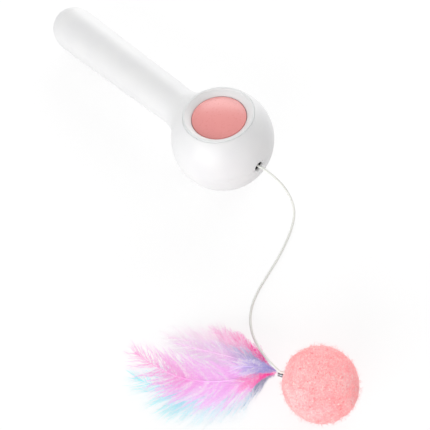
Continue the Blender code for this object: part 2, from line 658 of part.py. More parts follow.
def build_reel():
    hub_hole = AXLE_R + CLEARANCE
    web = -WINDING_W / 2
    cup_inner = SPRING_CUP_R - SPRING_CUP_WALL
    drum_inner = DRUM_R - DRUM_WALL
    profile = [
        (hub_hole, SPOOL_TOP), (SPOOL_HUB_R, SPOOL_TOP), (SPOOL_HUB_R, web),
        (drum_inner, web), (drum_inner, SPOOL_TOP), (SPOOL_R, SPOOL_TOP), (SPOOL_R, -web),
        (DRUM_R, -web), (DRUM_R, web), (SPOOL_R, web), (SPOOL_R, -SPOOL_TOP),
        (SPRING_CUP_R, -SPOOL_TOP), (SPRING_CUP_R, SPOOL_BOTTOM), (cup_inner, SPOOL_BOTTOM),
        (cup_inner, -SPOOL_TOP), (hub_hole, -SPOOL_TOP),
    ]
    turned("spool", profile, REEL, INNER_PLASTIC)

    arbor_hole = ARBOR_R + CLEARANCE
    cover_top = SPOOL_BOTTOM - CLEARANCE
    step_r = cup_inner - CLEARANCE
    profile = [
        (arbor_hole, cover_top), (step_r - SPRING_COVER_T, cover_top),
        (step_r - SPRING_COVER_T, cover_top + SPRING_COVER_T), (step_r, cover_top + SPRING_COVER_T),
        (step_r, cover_top), (SPRING_CUP_R, cover_top), (SPRING_CUP_R, COVER_BOTTOM),
        (arbor_hole, COVER_BOTTOM),
    ]
    turned("spring_cover", profile, REEL, INNER_PLASTIC)

    ripples = round(WINDING_W / CORD_D)
    inner = DRUM_R + CLEARANCE
    outer = DRUM_R + WINDING_D
    usable = WINDING_W - 2 * CLEARANCE
    pitch = usable / ripples
    profile = [(inner, usable / 2)]
    for i in range(ripples):
        centre = usable / 2 - pitch * (i + 1 / 2)
        profile += arc((outer - pitch / 2, centre), pitch / 2, math.pi / 2, -math.pi / 2, 2)[:-1]
    profile.append((inner, -usable / 2))
    turned("wound_cord", profile, REEL, CORD_YARN, steps=24)

    # The power spring's strip runs out from the arbor to the cup's wall
    start = ARBOR_R + CLEARANCE + POWER_SPRING_T / 2
    end = cup_inner - CLEARANCE - POWER_SPRING_T / 2
    low = SPOOL_BOTTOM + SPRING_COVER_T + 2 * CLEARANCE
    high = -SPOOL_TOP - CLEARANCE
    per_turn = 12
    count = POWER_SPRING_TURNS * per_turn
    bm = bmesh.new()
    line = []
    for i in range(count + 1):
        turn = 2 * math.pi * i / per_turn
        radius = start + (end - start) * i / count
        line.append(bm.verts.new((radius * math.cos(turn), radius * math.sin(turn), low)))
    edges = [bm.edges.new(pair) for pair in zip(line, line[1:])]
    grown = bmesh.ops.extrude_edge_only(bm, edges=edges)
    moved = [item for item in grown["geom"] if isinstance(item, bmesh.types.BMVert)]
    bmesh.ops.translate(bm, verts=moved, vec=(0, 0, high - low))
    mesh = bpy.data.meshes.new("power_spring")
    bm.to_mesh(mesh)
    bm.free()
    strip = add_object("power_spring", mesh, HEAD, STEEL_WIRE)
    solidify = strip.modifiers.new("thickness", "SOLIDIFY")
    solidify.thickness = POWER_SPRING_T
    solidify.offset = 0

    axle_top = BRIDGE_TOP - WASHER_PLAY
    shoulder = -SPOOL_TOP - CLEARANCE
    profile = [
        (0, axle_top), (AXLE_R, axle_top), (AXLE_R, shoulder), (ARBOR_R, shoulder),
        (ARBOR_R, TOWER_TOP + WASHER_PLAY), (AXLE_R, TOWER_TOP + WASHER_PLAY),
        (AXLE_R, TOWER_TOP - AXLE_SEAT), (0, TOWER_TOP - AXLE_SEAT),
    ]
    turned("spool_axle", profile, HEAD, STEEL_BAR, steps=16, closed=False)

    for index in range(2):
        low = SPOOL_TOP + WASHER_PLAY / 2 + index * (WASHER_T + WASHER_PLAY)
        profile = [(hub_hole, low + WASHER_T), (WASHER_R, low + WASHER_T), (WASHER_R, low), (hub_hole, low)]
        turned(f"thrust_washer_{index + 1}", profile, HEAD, STEEL_BAR, steps=12)


def build_eyelet():
    flare = arc(
        (EYELET_BORE_R + EYELET_FLARE_L, EYELET_THROAT), EYELET_FLARE_L, math.pi,
        math.pi - math.acos(1 - EYELET_FLARE_W / EYELET_FLARE_L), 3)
    profile = [
        (EYELET_R - CLEARANCE / 2, EYELET_FACE), (EYELET_R, EYELET_FACE - CLEARANCE / 2),
        (EYELET_R, FLANGE_FRONT), (EYELET_FLANGE_R, FLANGE_FRONT), (EYELET_FLANGE_R, FLANGE_BACK),
        (EYELET_R, FLANGE_BACK), (EYELET_R, EYELET_TAIL), (EYELET_BORE_R, EYELET_TAIL),
        *flare, (EYELET_FLARE_R, EYELET_FACE),
    ]
    eyelet = turned("eyelet", profile, HEAD, WHITE_PLASTIC, steps=20)

    # The liner's collar behind the eyelet's tail keeps it from being pulled out with the cord
    bore = LINER_R - LINER_WALL
    top = EYELET_FACE - LINER_DEPTH
    collar_front = EYELET_TAIL - CLEARANCE
    collar_back = collar_front - LINER_COLLAR_T
    mouth = arc((bore + LINER_ROUND, top - LINER_ROUND), LINER_ROUND, math.pi, math.pi / 2, 3)
    trumpet = arc(
        (bore + LINER_TRUMPET, collar_back + LINER_TRUMPET), LINER_TRUMPET, -math.pi / 2, -math.pi, 4)
    profile = [
        *mouth, (LINER_R, top), (LINER_R, collar_front), (EYELET_R, collar_front), (EYELET_R, collar_back),
        *trumpet,
    ]
    liner = turned("eyelet_liner", profile, HEAD, LINER_PLASTIC, steps=16)
    for piece in (eyelet, liner):
        piece.rotation_euler = (0, math.pi / 2, 0)


def screw_mesh(reach):
    """One screw: its head sits on height zero with a cross in its top, and its shank runs down."""
    profile = [
        (0, SCREW_HEAD_H), (SCREW_HEAD_R - CLEARANCE, SCREW_HEAD_H), (SCREW_HEAD_R, SCREW_HEAD_H - CLEARANCE),
        (SCREW_HEAD_R, 0), (SCREW_R, 0), (SCREW_R, -reach + SCREW_R), (SCREW_R / 2, -reach), (0, -reach),
    ]
    form = turned("screw_form", profile, None, steps=8, cutter=True, closed=False)
    half, length = SCREW_SLOT_W / 2, SCREW_HEAD_R * SCREW_SLOT_SHARE
    bottom = SCREW_HEAD_H - SCREW_SLOT_DEPTH
    bars = [
        box_cutter(form, "slot_x", (-length, -half, bottom), (length, half, SCREW_HEAD_H + SCREW_HEAD_H)),
        box_cutter(form, "slot_y", (-half, -length, bottom), (half, length, SCREW_HEAD_H + SCREW_HEAD_H)),
    ]
    mesh = evaluated_mesh(form)
    for tool in (form, *bars):
        bpy.data.objects.remove(tool)
    return mesh


def screw_set(name, reach, places, height, flip=False):
    """Identical screws, one object each, which share a mesh. Their heads are below when flipped."""
    mesh = screw_mesh(reach)
    mesh.materials.append(STEEL_BAR)
    for index, (x, y) in enumerate(places):
        screw = add_object(f"{name}_{index + 1}", mesh, HEAD)
        screw.location = (x, y, height)
        screw.rotation_euler = (math.pi if flip else 0, 0, 0)


def build_screws():
    places = on_ring(CASE_RING_R, CASE_ANGLES) + grip_places()
    height = WELL_TOP - CLEARANCE
    screw_set("case_screw", CASE_SCREW_REACH - height, places, height, flip=True)
    screw_set("bridge_screw", BRIDGE_SCREW_REACH, on_ring(POST_RING_R, POST_ANGLES), BRIDGE_TOP + CLEARANCE)


def toy_point(x, y, z):
    """A place in the ferrule's frame, as world coordinates."""
    return tuple(Matrix.Translation((BALL_X, BALL_Y, FERRULE_Z)) @ Matrix.Rotation(TOY_HEADING, 4, "Z")
                 @ Vector((x, y, z)))


def build_cord():
    # The lead runs from a tangent of the winding to the eyelet's throat, in the head's frame
    winding_r = DRUM_R + WINDING_D + CORD_D / 2 + CLEARANCE
    angle = math.acos(winding_r / EYELET_TAIL)
    reach = CORD_JOIN - EYELET_TAIL
    lead = [
        (winding_r * math.cos(angle), winding_r * math.sin(angle), 0),
        (EYELET_TAIL - reach, reach * math.cos(angle) / math.sin(angle), 0),
        (EYELET_TAIL + reach * LEAD_BEND_SHARES[0], reach * LEAD_BEND_SHARES[1], 0),
        (CORD_JOIN - reach * LEAD_STRAIGHT_SHARE, 0, 0), (CORD_JOIN, 0, 0),
    ]
    wire("lead_cord", smooth_points(lead, CORD_STEP), CORD_D, HEAD, CORD_YARN)

    tilted = Matrix.Rotation(-TILT, 4, "Y")
    start = CORD_JOIN + CLEARANCE
    exits = [Matrix.Translation((0, 0, HEAD_Z)) @ tilted @ Vector((x, 0, 0)) for x in (start, EYELET_FACE)]
    cord_x = math.sqrt(BALL_R**2 - (BALL_CORD_RISE + CORD_D) ** 2)
    rise = BALL_R + BALL_CORD_RISE - FERRULE_Z
    entry = [toy_point(x, 0, rise) for x in (cord_x + FERRULE_SHOWN, cord_x, cord_x - CORD_SUNK)]
    route = [*exits, *CORD_ROUTE, *entry]
    wire("free_cord", smooth_points(route, CORD_STEP), CORD_D, WORLD, CORD_YARN)


def build_ball():
    bm = bmesh.new()
    matrix = Matrix.Translation((0, 0, FERRULE_SINK))
    bmesh.ops.create_icosphere(bm, subdivisions=4, radius=BALL_R, matrix=matrix)
    mesh = bpy.data.meshes.new("felt_ball")
    bm.to_mesh(mesh)
    bm.free()
    ball = add_object("felt_ball", mesh, TOY, FELT)
    smooth(ball)
    bore = cylinder_cutter(
        ball, "ferrule_bore", FERRULE_R + CLEARANCE, BALL_R - FERRULE_SUNK - CLEARANCE, BALL_R + CUT_OVERRUN)
    cord_x = math.sqrt(BALL_R**2 - (BALL_CORD_RISE + CORD_D) ** 2)
    cord_bore = cylinder_cutter(
        ball, "cord_bore", CORD_D / 2 + CLEARANCE, cord_x - CORD_SUNK - CLEARANCE, BALL_R + CUT_OVERRUN)
    for tool in (bore, cord_bore):
        tool.rotation_euler = (0, math.pi / 2, 0)
    cord_bore.location = (0, 0, BALL_R + BALL_CORD_RISE - FERRULE_Z)

    low, high = BALL_R - FERRULE_SUNK, FERRULE_MOUTH
    outer = FERRULE_R
    profile = [
        (FERRULE_BORE_R + FERRULE_ROLL / 2, high), (outer - FERRULE_ROLL / 2, high),
        (outer, high - FERRULE_ROLL),
        (outer, high - 2 * FERRULE_ROLL), (outer - FERRULE_ROLL / 2, high - 3 * FERRULE_ROLL),
        (outer - FERRULE_ROLL / 2, low), (FERRULE_BORE_R, low), (FERRULE_BORE_R, high - FERRULE_ROLL),
    ]
    ferrule = turned("ferrule", profile, TOY, CHROME, steps=16)
    ferrule.rotation_euler = (0, math.pi / 2, 0)


# Each feather: its colour, its layer from the floor up, its quill's place round the ring, its fan angle at
# the ferrule, its bend over its length, both in degrees, its length and its half width.
FEATHERS = (
    ("feather_aqua", (0.62, 0.80, 0.86), 0, -39, 60, -20, 0.0340, 0.0055),
    ("feather_cyan", (0.55, 0.86, 0.93), 1, -90, 44, -54, 0.0780, 0.0110),
    ("feather_hot_pink", (0.93, 0.22, 0.55), 2, -141, -35, 18, 0.0440, 0.0040),
    ("feather_blush", (0.98, 0.72, 0.84), 3, 167, -24, 34, 0.0640, 0.0085),
    ("feather_sky", (0.66, 0.76, 0.92), 4, None, -12, 14, 0.0580, 0.0060),
    ("feather_orchid", (0.93, 0.58, 0.86), 5, 13, 38, -62, 0.0800, 0.0120),
    ("feather_rose", (0.95, 0.36, 0.68), 6, 64, 44, -10, 0.0340, 0.0060),
    ("feather_lilac", (0.66, 0.55, 0.88), 7, 116, 8, 4, 0.0340, 0.0055),
)
LEAF_FILL_SHARE = 1.12
LEAF_PEAK_SHARE = 0.85
BARB_NOTCH_SHARE = 0.22
BARB_SWEEP_SHARE = 0.45
FEATHER_ROWS = 16


def layer_height(x, layer):
    """How high above the ferrule's axis a feather of this layer runs at a distance from the ferrule's mouth.
    Every feather hangs on the same curve, so the layers never cross."""
    share = min(max(x / FEATHER_DROOP_L, 0), 1)
    droop = (FERRULE_Z - FEATHER_REST_Z) * share**2 * (3 - 2 * share)
    spread = min(max((x - QUILL_SUNK) / FEATHER_SPREAD_L, 0), 1)
    middle = (len(FEATHERS) - 1) / 2
    return (layer - middle) * FEATHER_LAYER * spread - droop, spread


def feather_rows(fan, bend, length, half_width, slot):
    """For each step along a feather: its place in plan, its heading and its half width."""
    rows = []
    x, y = -QUILL_SUNK, slot[0]
    step = length / FEATHER_ROWS
    bare = max(1, math.ceil(QUILL_BARE_L / step))
    for i in range(FEATHER_ROWS + 1):
        share = i / FEATHER_ROWS
        grown = max(0, (i - bare) / (FEATHER_ROWS - bare))
        turn = fan * min(1, i / bare) ** 2 + bend * share
        heading = math.radians(turn)
        leaf = math.sin(math.pi * min(1, grown * LEAF_FILL_SHARE) ** LEAF_PEAK_SHARE) if grown else 0
        notch = 1 - BARB_NOTCH_SHARE * (i % 2)
        width = QUILL_D / 2 + max(0, leaf) * half_width * notch
        rows.append((x, y, heading, width))
        x += step * math.cos(heading)
        y += step * math.sin(heading)
    return rows


def build_feather(name, colour, layer, slot_angle, fan, bend, length, half_width):
    if slot_angle is None:
        slot = (0, 0)
    else:
        angle = math.radians(slot_angle)
        slot = (QUILL_RING_R * math.cos(angle), QUILL_RING_R * math.sin(angle))
    bm = bmesh.new()
    lines = []
    for x, y, heading, width in feather_rows(fan, bend, length, half_width, slot):
        along, across = (math.cos(heading), math.sin(heading)), (-math.sin(heading), math.cos(heading))
        line = []
        for side in (-1, 0, 1):
            sweep = abs(side) * (width - QUILL_D / 2) * BARB_SWEEP_SHARE
            px = x + side * width * across[0] + sweep * along[0]
            py = y + side * width * across[1] + sweep * along[1]
            height, spread = layer_height(px, layer)
            line.append(bm.verts.new((FERRULE_MOUTH + px, py, height + slot[1] * (1 - spread))))
        lines.append(line)
    for low, high in zip(lines, lines[1:]):
        for i in range(2):
            bm.faces.new((low[i], low[i + 1], high[i + 1], high[i]))
    bmesh.ops.recalc_face_normals(bm, faces=bm.faces)
    mesh = bpy.data.meshes.new(name)
    bm.to_mesh(mesh)
    bm.free()
    feather = add_object(name, mesh, TOY, new_material(name, colour, 0.9))
    solidify = feather.modifiers.new("thickness", "SOLIDIFY")
    solidify.thickness = FEATHER_T
    solidify.offset = 0


def empty(name, parent=None, location=(0, 0, 0), rotation=(0, 0, 0)):
    obj = add_object(name, None, parent)
    obj.location = location
    obj.rotation_euler = rotation
    return obj


for old in list(bpy.data.objects):
    bpy.data.objects.remove(old)
PARTS = bpy.data.collections.new("cat_teaser_stick")
CUTTERS = bpy.data.collections.new("cutters")
for collection in (PARTS, CUTTERS):
    bpy.context.scene.collection.children.link(collection)

WHITE_PLASTIC = new_material("white_plastic", WHITE, 0.35)
PINK_PLASTIC = new_material("pink_plastic", (0.88, 0.33, 0.32), 0.3)
INNER_PLASTIC = new_material("inner_plastic", INNER_WHITE, 0.45)
STEEL_WIRE = new_material("spring_steel", STEEL, 0.3, 1.0)
STEEL_BAR = new_material("plated_steel", STEEL, 0.35, 1.0)
LINER_PLASTIC = new_material("liner_plastic", (0.02, 0.02, 0.02), 0.4)
RUBBER = new_material("brake_rubber", (0.05, 0.05, 0.05), 0.8)
CORD_YARN = new_material("cord_yarn", (0.80, 0.82, 0.79), 0.7)
FELT = new_material("pink_felt", (0.95, 0.45, 0.45), 0.95)
CHROME = new_material("chrome", (0.85, 0.85, 0.86), 0.08, 1.0)

WORLD = empty("world_axes")
HEAD = empty("head_axes", None, (0, 0, HEAD_Z), (0, -TILT, 0))
BUTTON = empty("button_axes", HEAD)
REEL = empty("reel_axes", HEAD)
BRAKE = empty("brake_axes", HEAD, (0, 0, PIVOT_Z))
TOY = empty("toy_axes", None, (BALL_X, BALL_Y, FERRULE_Z), (0, 0, TOY_HEADING))

build_shells()
build_bezel()
build_button()
build_bridge()
build_brake()
build_reel()
build_eyelet()
build_screws()
build_cord()
build_ball()
for feather_values in FEATHERS:
    build_feather(*feather_values)
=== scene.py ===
# The looks of a self-winding cat teaser stick: satin white shells, a domed pink button in a dished ring,
# a braided cord, a needle-felted wool ball and a bunch of dyed marabou feathers in a chrome ferrule.
# Metres, +Z up. The round head rests at the origin, its grip runs towards -X and its cord towards +X.
import json
import math

import bmesh
import bpy
import numpy as np
from mathutils import Matrix, Vector, noise


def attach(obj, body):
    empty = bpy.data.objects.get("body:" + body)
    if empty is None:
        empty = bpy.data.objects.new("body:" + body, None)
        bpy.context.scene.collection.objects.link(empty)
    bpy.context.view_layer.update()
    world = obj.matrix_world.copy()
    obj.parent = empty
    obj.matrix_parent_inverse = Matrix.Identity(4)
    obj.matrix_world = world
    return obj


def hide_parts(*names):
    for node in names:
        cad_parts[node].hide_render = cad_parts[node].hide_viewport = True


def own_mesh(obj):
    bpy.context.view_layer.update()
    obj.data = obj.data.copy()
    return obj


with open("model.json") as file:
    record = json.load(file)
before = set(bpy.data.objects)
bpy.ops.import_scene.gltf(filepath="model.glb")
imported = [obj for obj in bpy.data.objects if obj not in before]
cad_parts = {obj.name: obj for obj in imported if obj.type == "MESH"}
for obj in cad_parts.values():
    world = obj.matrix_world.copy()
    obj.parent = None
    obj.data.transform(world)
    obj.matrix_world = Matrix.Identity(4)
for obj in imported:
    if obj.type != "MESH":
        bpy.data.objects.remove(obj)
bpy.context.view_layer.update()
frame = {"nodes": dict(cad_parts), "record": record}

MM = 0.001
RANDOM = np.random.default_rng(7)

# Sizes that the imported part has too
HEAD_R = 30.0 * MM
REST_FLAT_R = 10.0 * MM
WALL = 2.0 * MM
GRIP_L = 144.5 * MM
GRIP_END_R = 15.1 * MM
GRIP_TAPER = math.radians(1.4)
NECK_FILLET_R = 23.0 * MM
HEAD_Z = math.sqrt(HEAD_R**2 - REST_FLAT_R**2)
TILT = math.asin((HEAD_Z - GRIP_END_R) / GRIP_L)
HEAD = Matrix.Translation((0, 0, HEAD_Z)) @ Matrix.Rotation(-TILT, 4, "Y")
ALONG_X = Matrix.Rotation(math.pi / 2, 4, "Y")

BEZEL_R = 20.2 * MM
BUTTON_R = 15.5 * MM
BUTTON_RIM_Z = math.sqrt(HEAD_R**2 - BEZEL_R**2) - 2.6 * MM
BUTTON_DOME = 1.4 * MM
BUTTON_BOTTOM = BUTTON_RIM_Z - 4.6 * MM
SPRING_R = 3.9 * MM
SPRING_WIRE = 0.7 * MM
SPRING_LOW = 7.7 * MM
SPRING_HIGH = 12.52 * MM
SPRING_TURNS = 4
EYELET_R = 3.6 * MM
EYELET_FACE = math.sqrt(HEAD_R**2 - EYELET_R**2) + 0.1 * MM
CORD_D = 1.4 * MM
CORD_STEP = 0.22 * MM
CORD_STEPS_OVER_FEATHERS = 180
BALL_R = 18.8 * MM
FERRULE_Z = BALL_R - 1.2 * MM
FERRULE_R = 1.5 * MM
FERRULE_MOUTH = BALL_R + 2.4 * MM
# Where the cord goes into the ball: along the ferrule, and above it
CORD_IN = math.sqrt(BALL_R**2 - (2.5 * MM + CORD_D) ** 2)
CORD_RISE = BALL_R + 2.5 * MM - FERRULE_Z
TOY = Matrix.Translation((0.1350, -0.0643, FERRULE_Z)) @ Matrix.Rotation(math.radians(209.4), 4, "Z")

CORD_ROUTE = (
    (0.0338, 0.0007, 0.0312), (0.0394, 0.0024, 0.0280), (0.0445, 0.0044, 0.0220), (0.0487, 0.0056, 0.0147),
    (0.0519, 0.0056, 0.0081), (0.0551, 0.0034, 0.0031), (0.0589, -0.0024, 0.0010), (0.0630, -0.0112, 0.0008),
    (0.0671, -0.0226, 0.0008), (0.0702, -0.0338, 0.0008), (0.0730, -0.0438, 0.0008),
    (0.0767, -0.0527, 0.0009), (0.0819, -0.0597, 0.0016), (0.0884, -0.0651, 0.0046),
    (0.0960, -0.0693, 0.0097), (0.1042, -0.0725, 0.0156), (0.1108, -0.0741, 0.0199),
)


# Meshes

def add_mesh(name, verts, faces, material, smooth_angle=None):
    """An object from arrays of vertices and of faces, where each array of faces has one number of corners."""
    verts = np.asarray(verts, dtype=np.float32).reshape(-1, 3)
    groups = [np.asarray(group, dtype=np.int32) for group in faces if len(group)]
    mesh = bpy.data.meshes.new(name)
    mesh.vertices.add(len(verts))
    mesh.vertices.foreach_set("co", verts.ravel())
    corners = np.concatenate([group.ravel() for group in groups])
    totals = np.concatenate([np.full(len(group), group.shape[1], np.int32) for group in groups])
    starts = np.concatenate([[0], np.cumsum(totals)[:-1]]).astype(np.int32)
    mesh.loops.add(len(corners))
    mesh.loops.foreach_set("vertex_index", corners)
    mesh.polygons.add(len(totals))
    mesh.polygons.foreach_set("loop_start", starts)
    mesh.polygons.foreach_set("loop_total", totals)
    mesh.update(calc_edges=True)
    mesh.validate()
    return add_object(name, mesh, material, smooth_angle)


def add_object(name, mesh, material, smooth_angle=None):
    obj = bpy.data.objects.new(name, mesh)
    bpy.context.scene.collection.objects.link(obj)
    if material is not None:
        mesh.materials.clear()
        mesh.materials.append(material)
    shade_round(mesh, smooth_angle)
    return obj


def add_bmesh(name, bm, material):
    mesh = bpy.data.meshes.new(name)
    bm.to_mesh(mesh)
    bm.free()
    return add_object(name, mesh, material)


def shade_round(mesh, angle=None):
    """Shades a mesh as a round one, apart from edges that turn by more than the angle in degrees."""
    mesh.shade_smooth()
    if angle is not None:
        mesh.set_sharp_from_angle(angle=math.radians(angle))


def face_outwards(obj):
    bm = bmesh.new()
    bm.from_mesh(obj.data)
    bmesh.ops.recalc_face_normals(bm, faces=bm.faces)
    bm.to_mesh(obj.data)
    bm.free()


def polar(radius, angle):
    return radius * math.cos(angle), radius * math.sin(angle)


def arc(centre, radius, start, end, steps):
    angles = np.linspace(start, end, steps + 1)
    return [(centre[0] + radius * math.cos(a), centre[1] + radius * math.sin(a)) for a in angles]


def rounded(points, steps=6):
    """A profile whose corners (r, z, radius) are filleted. A point without a radius stays sharp."""
    out = []
    count = len(points)
    for i, point in enumerate(points):
        here = Vector(point[:2])
        if len(point) < 3:
            out.append(tuple(here))
            continue
        before = (Vector(points[i - 1][:2]) - here).normalized()
        after = (Vector(points[(i + 1) % count][:2]) - here).normalized()
        half = before.angle(after) / 2
        reach = point[2] / math.tan(half)
        centre = here + (before + after).normalized() * (point[2] / math.sin(half))
        start = here + before * reach - centre
        end = here + after * reach - centre
        turn = math.atan2(start.x * end.y - start.y * end.x, start.dot(end))
        for k in range(steps + 1):
            a = turn * k / steps
            out.append((
                centre.x + start.x * math.cos(a) - start.y * math.sin(a),
                centre.y + start.x * math.sin(a) + start.y * math.cos(a),
            ))
    return out


def rod(radius, top, bottom):
    """A plain round rod's profile."""
    return [(0, top), (radius, top), (radius, bottom), (0, bottom)]


def lathe(name, profile, matrix, material, steps, smooth_angle=40):
    """A turned solid. The profile's points are (radius, height), its last point joins its first, and one
    on the axis is a pole."""
    rings, verts = [], []
    for r, z in profile:
        first = len(verts)
        if r < 1e-7:
            rings.append([first] * steps)
            verts.append((0, 0, z))
        else:
            rings.append(list(range(first, first + steps)))
            verts += [(*polar(r, 2 * math.pi * k / steps), z) for k in range(steps)]
    quads, tris = [], []
    for low, high in zip(rings, rings[1:] + rings[:1]):
        for k in range(steps):
            after = (k + 1) % steps
            unique = list(dict.fromkeys((low[k], low[after], high[after], high[k])))
            if len(unique) == 4:
                quads.append(unique)
            elif len(unique) == 3:
                tris.append(unique)
    obj = add_mesh(name, [matrix @ Vector(v) for v in verts], [quads, tris], material, smooth_angle)
    face_outwards(obj)
    return obj


def cut(obj, tool, operation="DIFFERENCE"):
    """Applies a Boolean to obj and removes the tool."""
    modifier = obj.modifiers.new("cut", "BOOLEAN")
    modifier.operation = operation
    modifier.object = tool
    bpy.context.view_layer.update()
    mesh = bpy.data.meshes.new_from_object(obj.evaluated_get(bpy.context.evaluated_depsgraph_get()))
    obj.modifiers.clear()
    obj.data = mesh
    bpy.data.objects.remove(tool)


def cut_turned(obj, profile, matrix, steps, operation="DIFFERENCE"):
    cut(obj, lathe("cutter", profile, matrix, None, steps), operation)


def fit(obj, body, slot, *nodes):
    """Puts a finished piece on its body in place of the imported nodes."""
    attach(obj, body)
    if nodes:
        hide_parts(*nodes)


def lengths_of(vectors):
    """The lengths of the vectors along an array's last axis, kept above zero."""
    return np.maximum(np.linalg.norm(vectors, axis=-1, keepdims=True), 1e-12)


def unit(vectors):
    return vectors / lengths_of(vectors)


def travelled(line):
    """How far along a line each of its points is."""
    return np.concatenate([[0], np.cumsum(np.linalg.norm(np.diff(line, axis=0), axis=1))])


def ring_angles(sides):
    return 2 * np.pi * np.arange(sides) / sides


def ring_quads(rings, sides):
    """The quads between neighbouring rings of vertices, and the vertices' numbers ring by ring."""
    index = np.arange(rings * sides).reshape(rings, sides)
    low, high = index[:-1], index[1:]
    quads = np.stack([low, np.roll(low, -1, 1), np.roll(high, -1, 1), high], axis=-1)
    return quads.reshape(-1, 4), index


def sweep(line, tangents, across, radii):
    """A closed tube along a line: its vertices, quads and ends. Each point has a ring of radii."""
    up = np.cross(across, tangents)
    angles = ring_angles(radii.shape[1])
    verts = line[:, None] + radii[:, :, None] * (
        np.cos(angles)[None, :, None] * across[:, None] + np.sin(angles)[None, :, None] * up[:, None])
    quads, index = ring_quads(*radii.shape)
    return verts.reshape(-1, 3), quads, np.stack([index[0, ::-1], index[-1]])


def tube(line, radii, sides):
    """A round tube along a line that never points straight up, with a radius for each of its points."""
    tangents = unit(np.gradient(line, axis=0))
    across = unit(np.cross(tangents, (0, 0, 1.0)))
    return sweep(line, tangents, across, np.tile(radii[:, None], sides))


def ribbons(lines, widths, facing=(0, 0, 1.0)):
    """Flat strips along many lines at once, as wide as widths at each point, which face up or as given."""
    count, points = lines.shape[:2]
    facing = np.asarray(facing) + RANDOM.normal(0, 0.2, (count, 1, 3))
    across = np.cross(np.gradient(lines, axis=1), facing)
    across *= widths[:, :, None] / 2 / lengths_of(across)
    verts = np.stack([lines - across, lines + across], axis=2)
    index = np.arange(count * points * 2).reshape(count, points, 2)
    quads = np.concatenate([index[:, :-1], index[:, 1:, ::-1]], axis=2)
    return verts.reshape(-1, 3), quads.reshape(-1, 4)


def blades(bases, directions, lengths, width):
    """Thin pointed blades that lie more or less face up."""
    count = len(bases)
    directions = unit(directions)
    across = np.cross(directions, np.array([0, 0, 1.0]) + RANDOM.normal(0, 0.12, (count, 3)))
    across *= width / 2 / lengths_of(across)
    verts = np.stack([bases - across, bases + across, bases + directions * lengths[:, None]], axis=1)
    return verts.reshape(-1, 3), np.arange(count * 3).reshape(count, 3)


def smooth_points(route, step):
    """Evenly spaced points on a smooth curve through the route's own points."""
    points = np.array(route, dtype=float)
    padded = np.vstack([2 * points[0] - points[1], points, 2 * points[-1] - points[-2]])
    dense = []
    for a, b, c, d in zip(padded, padded[1:], padded[2:], padded[3:]):
        for t in np.linspace(0, 1, 24, endpoint=False):
            dense.append(
                b + t * (c - a) / 2 + t**2 * (a - 2.5 * b + 2 * c - d / 2)
                + t**3 * (1.5 * b - a / 2 - 1.5 * c + d / 2))
    dense = np.array([*dense, points[-1]])
    run = travelled(dense)
    places = np.linspace(0, run[-1], round(run[-1] / step) + 1)
    return np.stack([np.interp(places, run, column) for column in dense.T], axis=1)


# Materials

def shade(red, green, blue):
    """A linear colour from display values of 0 to 255."""
    values = []
    for value in (red, green, blue):
        value /= 255
        values.append(value / 12.92 if value <= 0.04045 else ((value + 0.055) / 1.055) ** 2.4)
    return (*values, 1.0)


def add_node(tree, kind, inputs=None, **settings):
    """A shader node with these settings, each of whose inputs is linked to a socket or set to a value."""
    made = tree.nodes.new("ShaderNode" + kind)
    for key, value in settings.items():
        setattr(made, key, value)
    for key, value in (inputs or {}).items():
        if isinstance(value, bpy.types.NodeSocket):
            tree.links.new(value, made.inputs[key])
        else:
            made.inputs[key].default_value = value
    return made


class Look:
    """A material whose nodes are added by short calls."""

    def __init__(self, name, **constants):
        self.material = bpy.data.materials.new(name)
        self.material.use_nodes = True
        self.tree = self.material.node_tree
        self.shader = self.tree.nodes["Principled BSDF"]
        for socket, value in constants.items():
            self.shader.inputs[socket.replace("_", " ")].default_value = value

    def node(self, kind, inputs=None, **settings):
        return add_node(self.tree, kind, inputs, **settings)

    def grain(self, scale, detail, roughness=0.55, distortion=0.0, stretch=None):
        where = self.node("TexCoord").outputs["Object"]
        if stretch:
            where = self.node("Mapping", {"Vector": where, "Scale": stretch}).outputs["Vector"]
        return self.node("TexNoise", {
            "Vector": where, "Scale": scale, "Detail": detail, "Roughness": roughness,
            "Distortion": distortion}).outputs["Fac"]

    def ramp(self, value, low, high, first=0.0, last=1.0):
        """Goes from the first colour or grey value, at low, to the last one, at high."""
        made = self.node("ValToRGB", {"Fac": value})
        for element, position, colour in zip(made.color_ramp.elements, (low, high), (first, last)):
            element.position = position
            element.color = colour if isinstance(colour, tuple) else (colour, colour, colour, 1)
        return made.outputs["Color"]

    def mix(self, factor, first, second):
        made = self.node("Mix", {"Factor": factor, "A": first, "B": second}, data_type="RGBA")
        return made.outputs["Result"]

    def value(self, name):
        return self.node("Attribute", attribute_name=name).outputs["Fac"]

    def math(self, operation, first, second):
        return self.node("Math", {0: first, 1: second}, operation=operation).outputs["Value"]

    def bump(self, height, strength, distance):
        made = self.node("Bump", {"Height": height, "Strength": strength, "Distance": distance})
        self.use("Normal", made.outputs["Normal"])

    def use(self, socket, value):
        self.tree.links.new(value, self.shader.inputs[socket])


def plastic(name, dark, light, rough_low, rough_high, bump=0.12, coat=0.0):
    look = Look(name, IOR=1.49, Coat_Weight=coat, Coat_Roughness=0.18)
    look.use("Base Color", look.ramp(look.grain(60, 2), 0.35, 0.65, dark, light))
    look.use("Roughness", look.ramp(look.grain(900, 4, 0.6), 0.3, 0.7, rough_low, rough_high))
    look.bump(look.grain(5200, 2, 0.5), bump, 0.02 * MM)
    return look.material


def metal(name, dark, light, rough_low, rough_high, stretch=None):
    look = Look(name, Metallic=1.0)
    streaks = look.grain(2600, 3, 0.6, stretch=stretch)
    look.use("Base Color", look.ramp(streaks, 0.3, 0.7, dark, light))
    look.use("Roughness", look.ramp(streaks, 0.3, 0.7, rough_low, rough_high))
    look.bump(streaks, 0.08, 0.01 * MM)
    return look.material


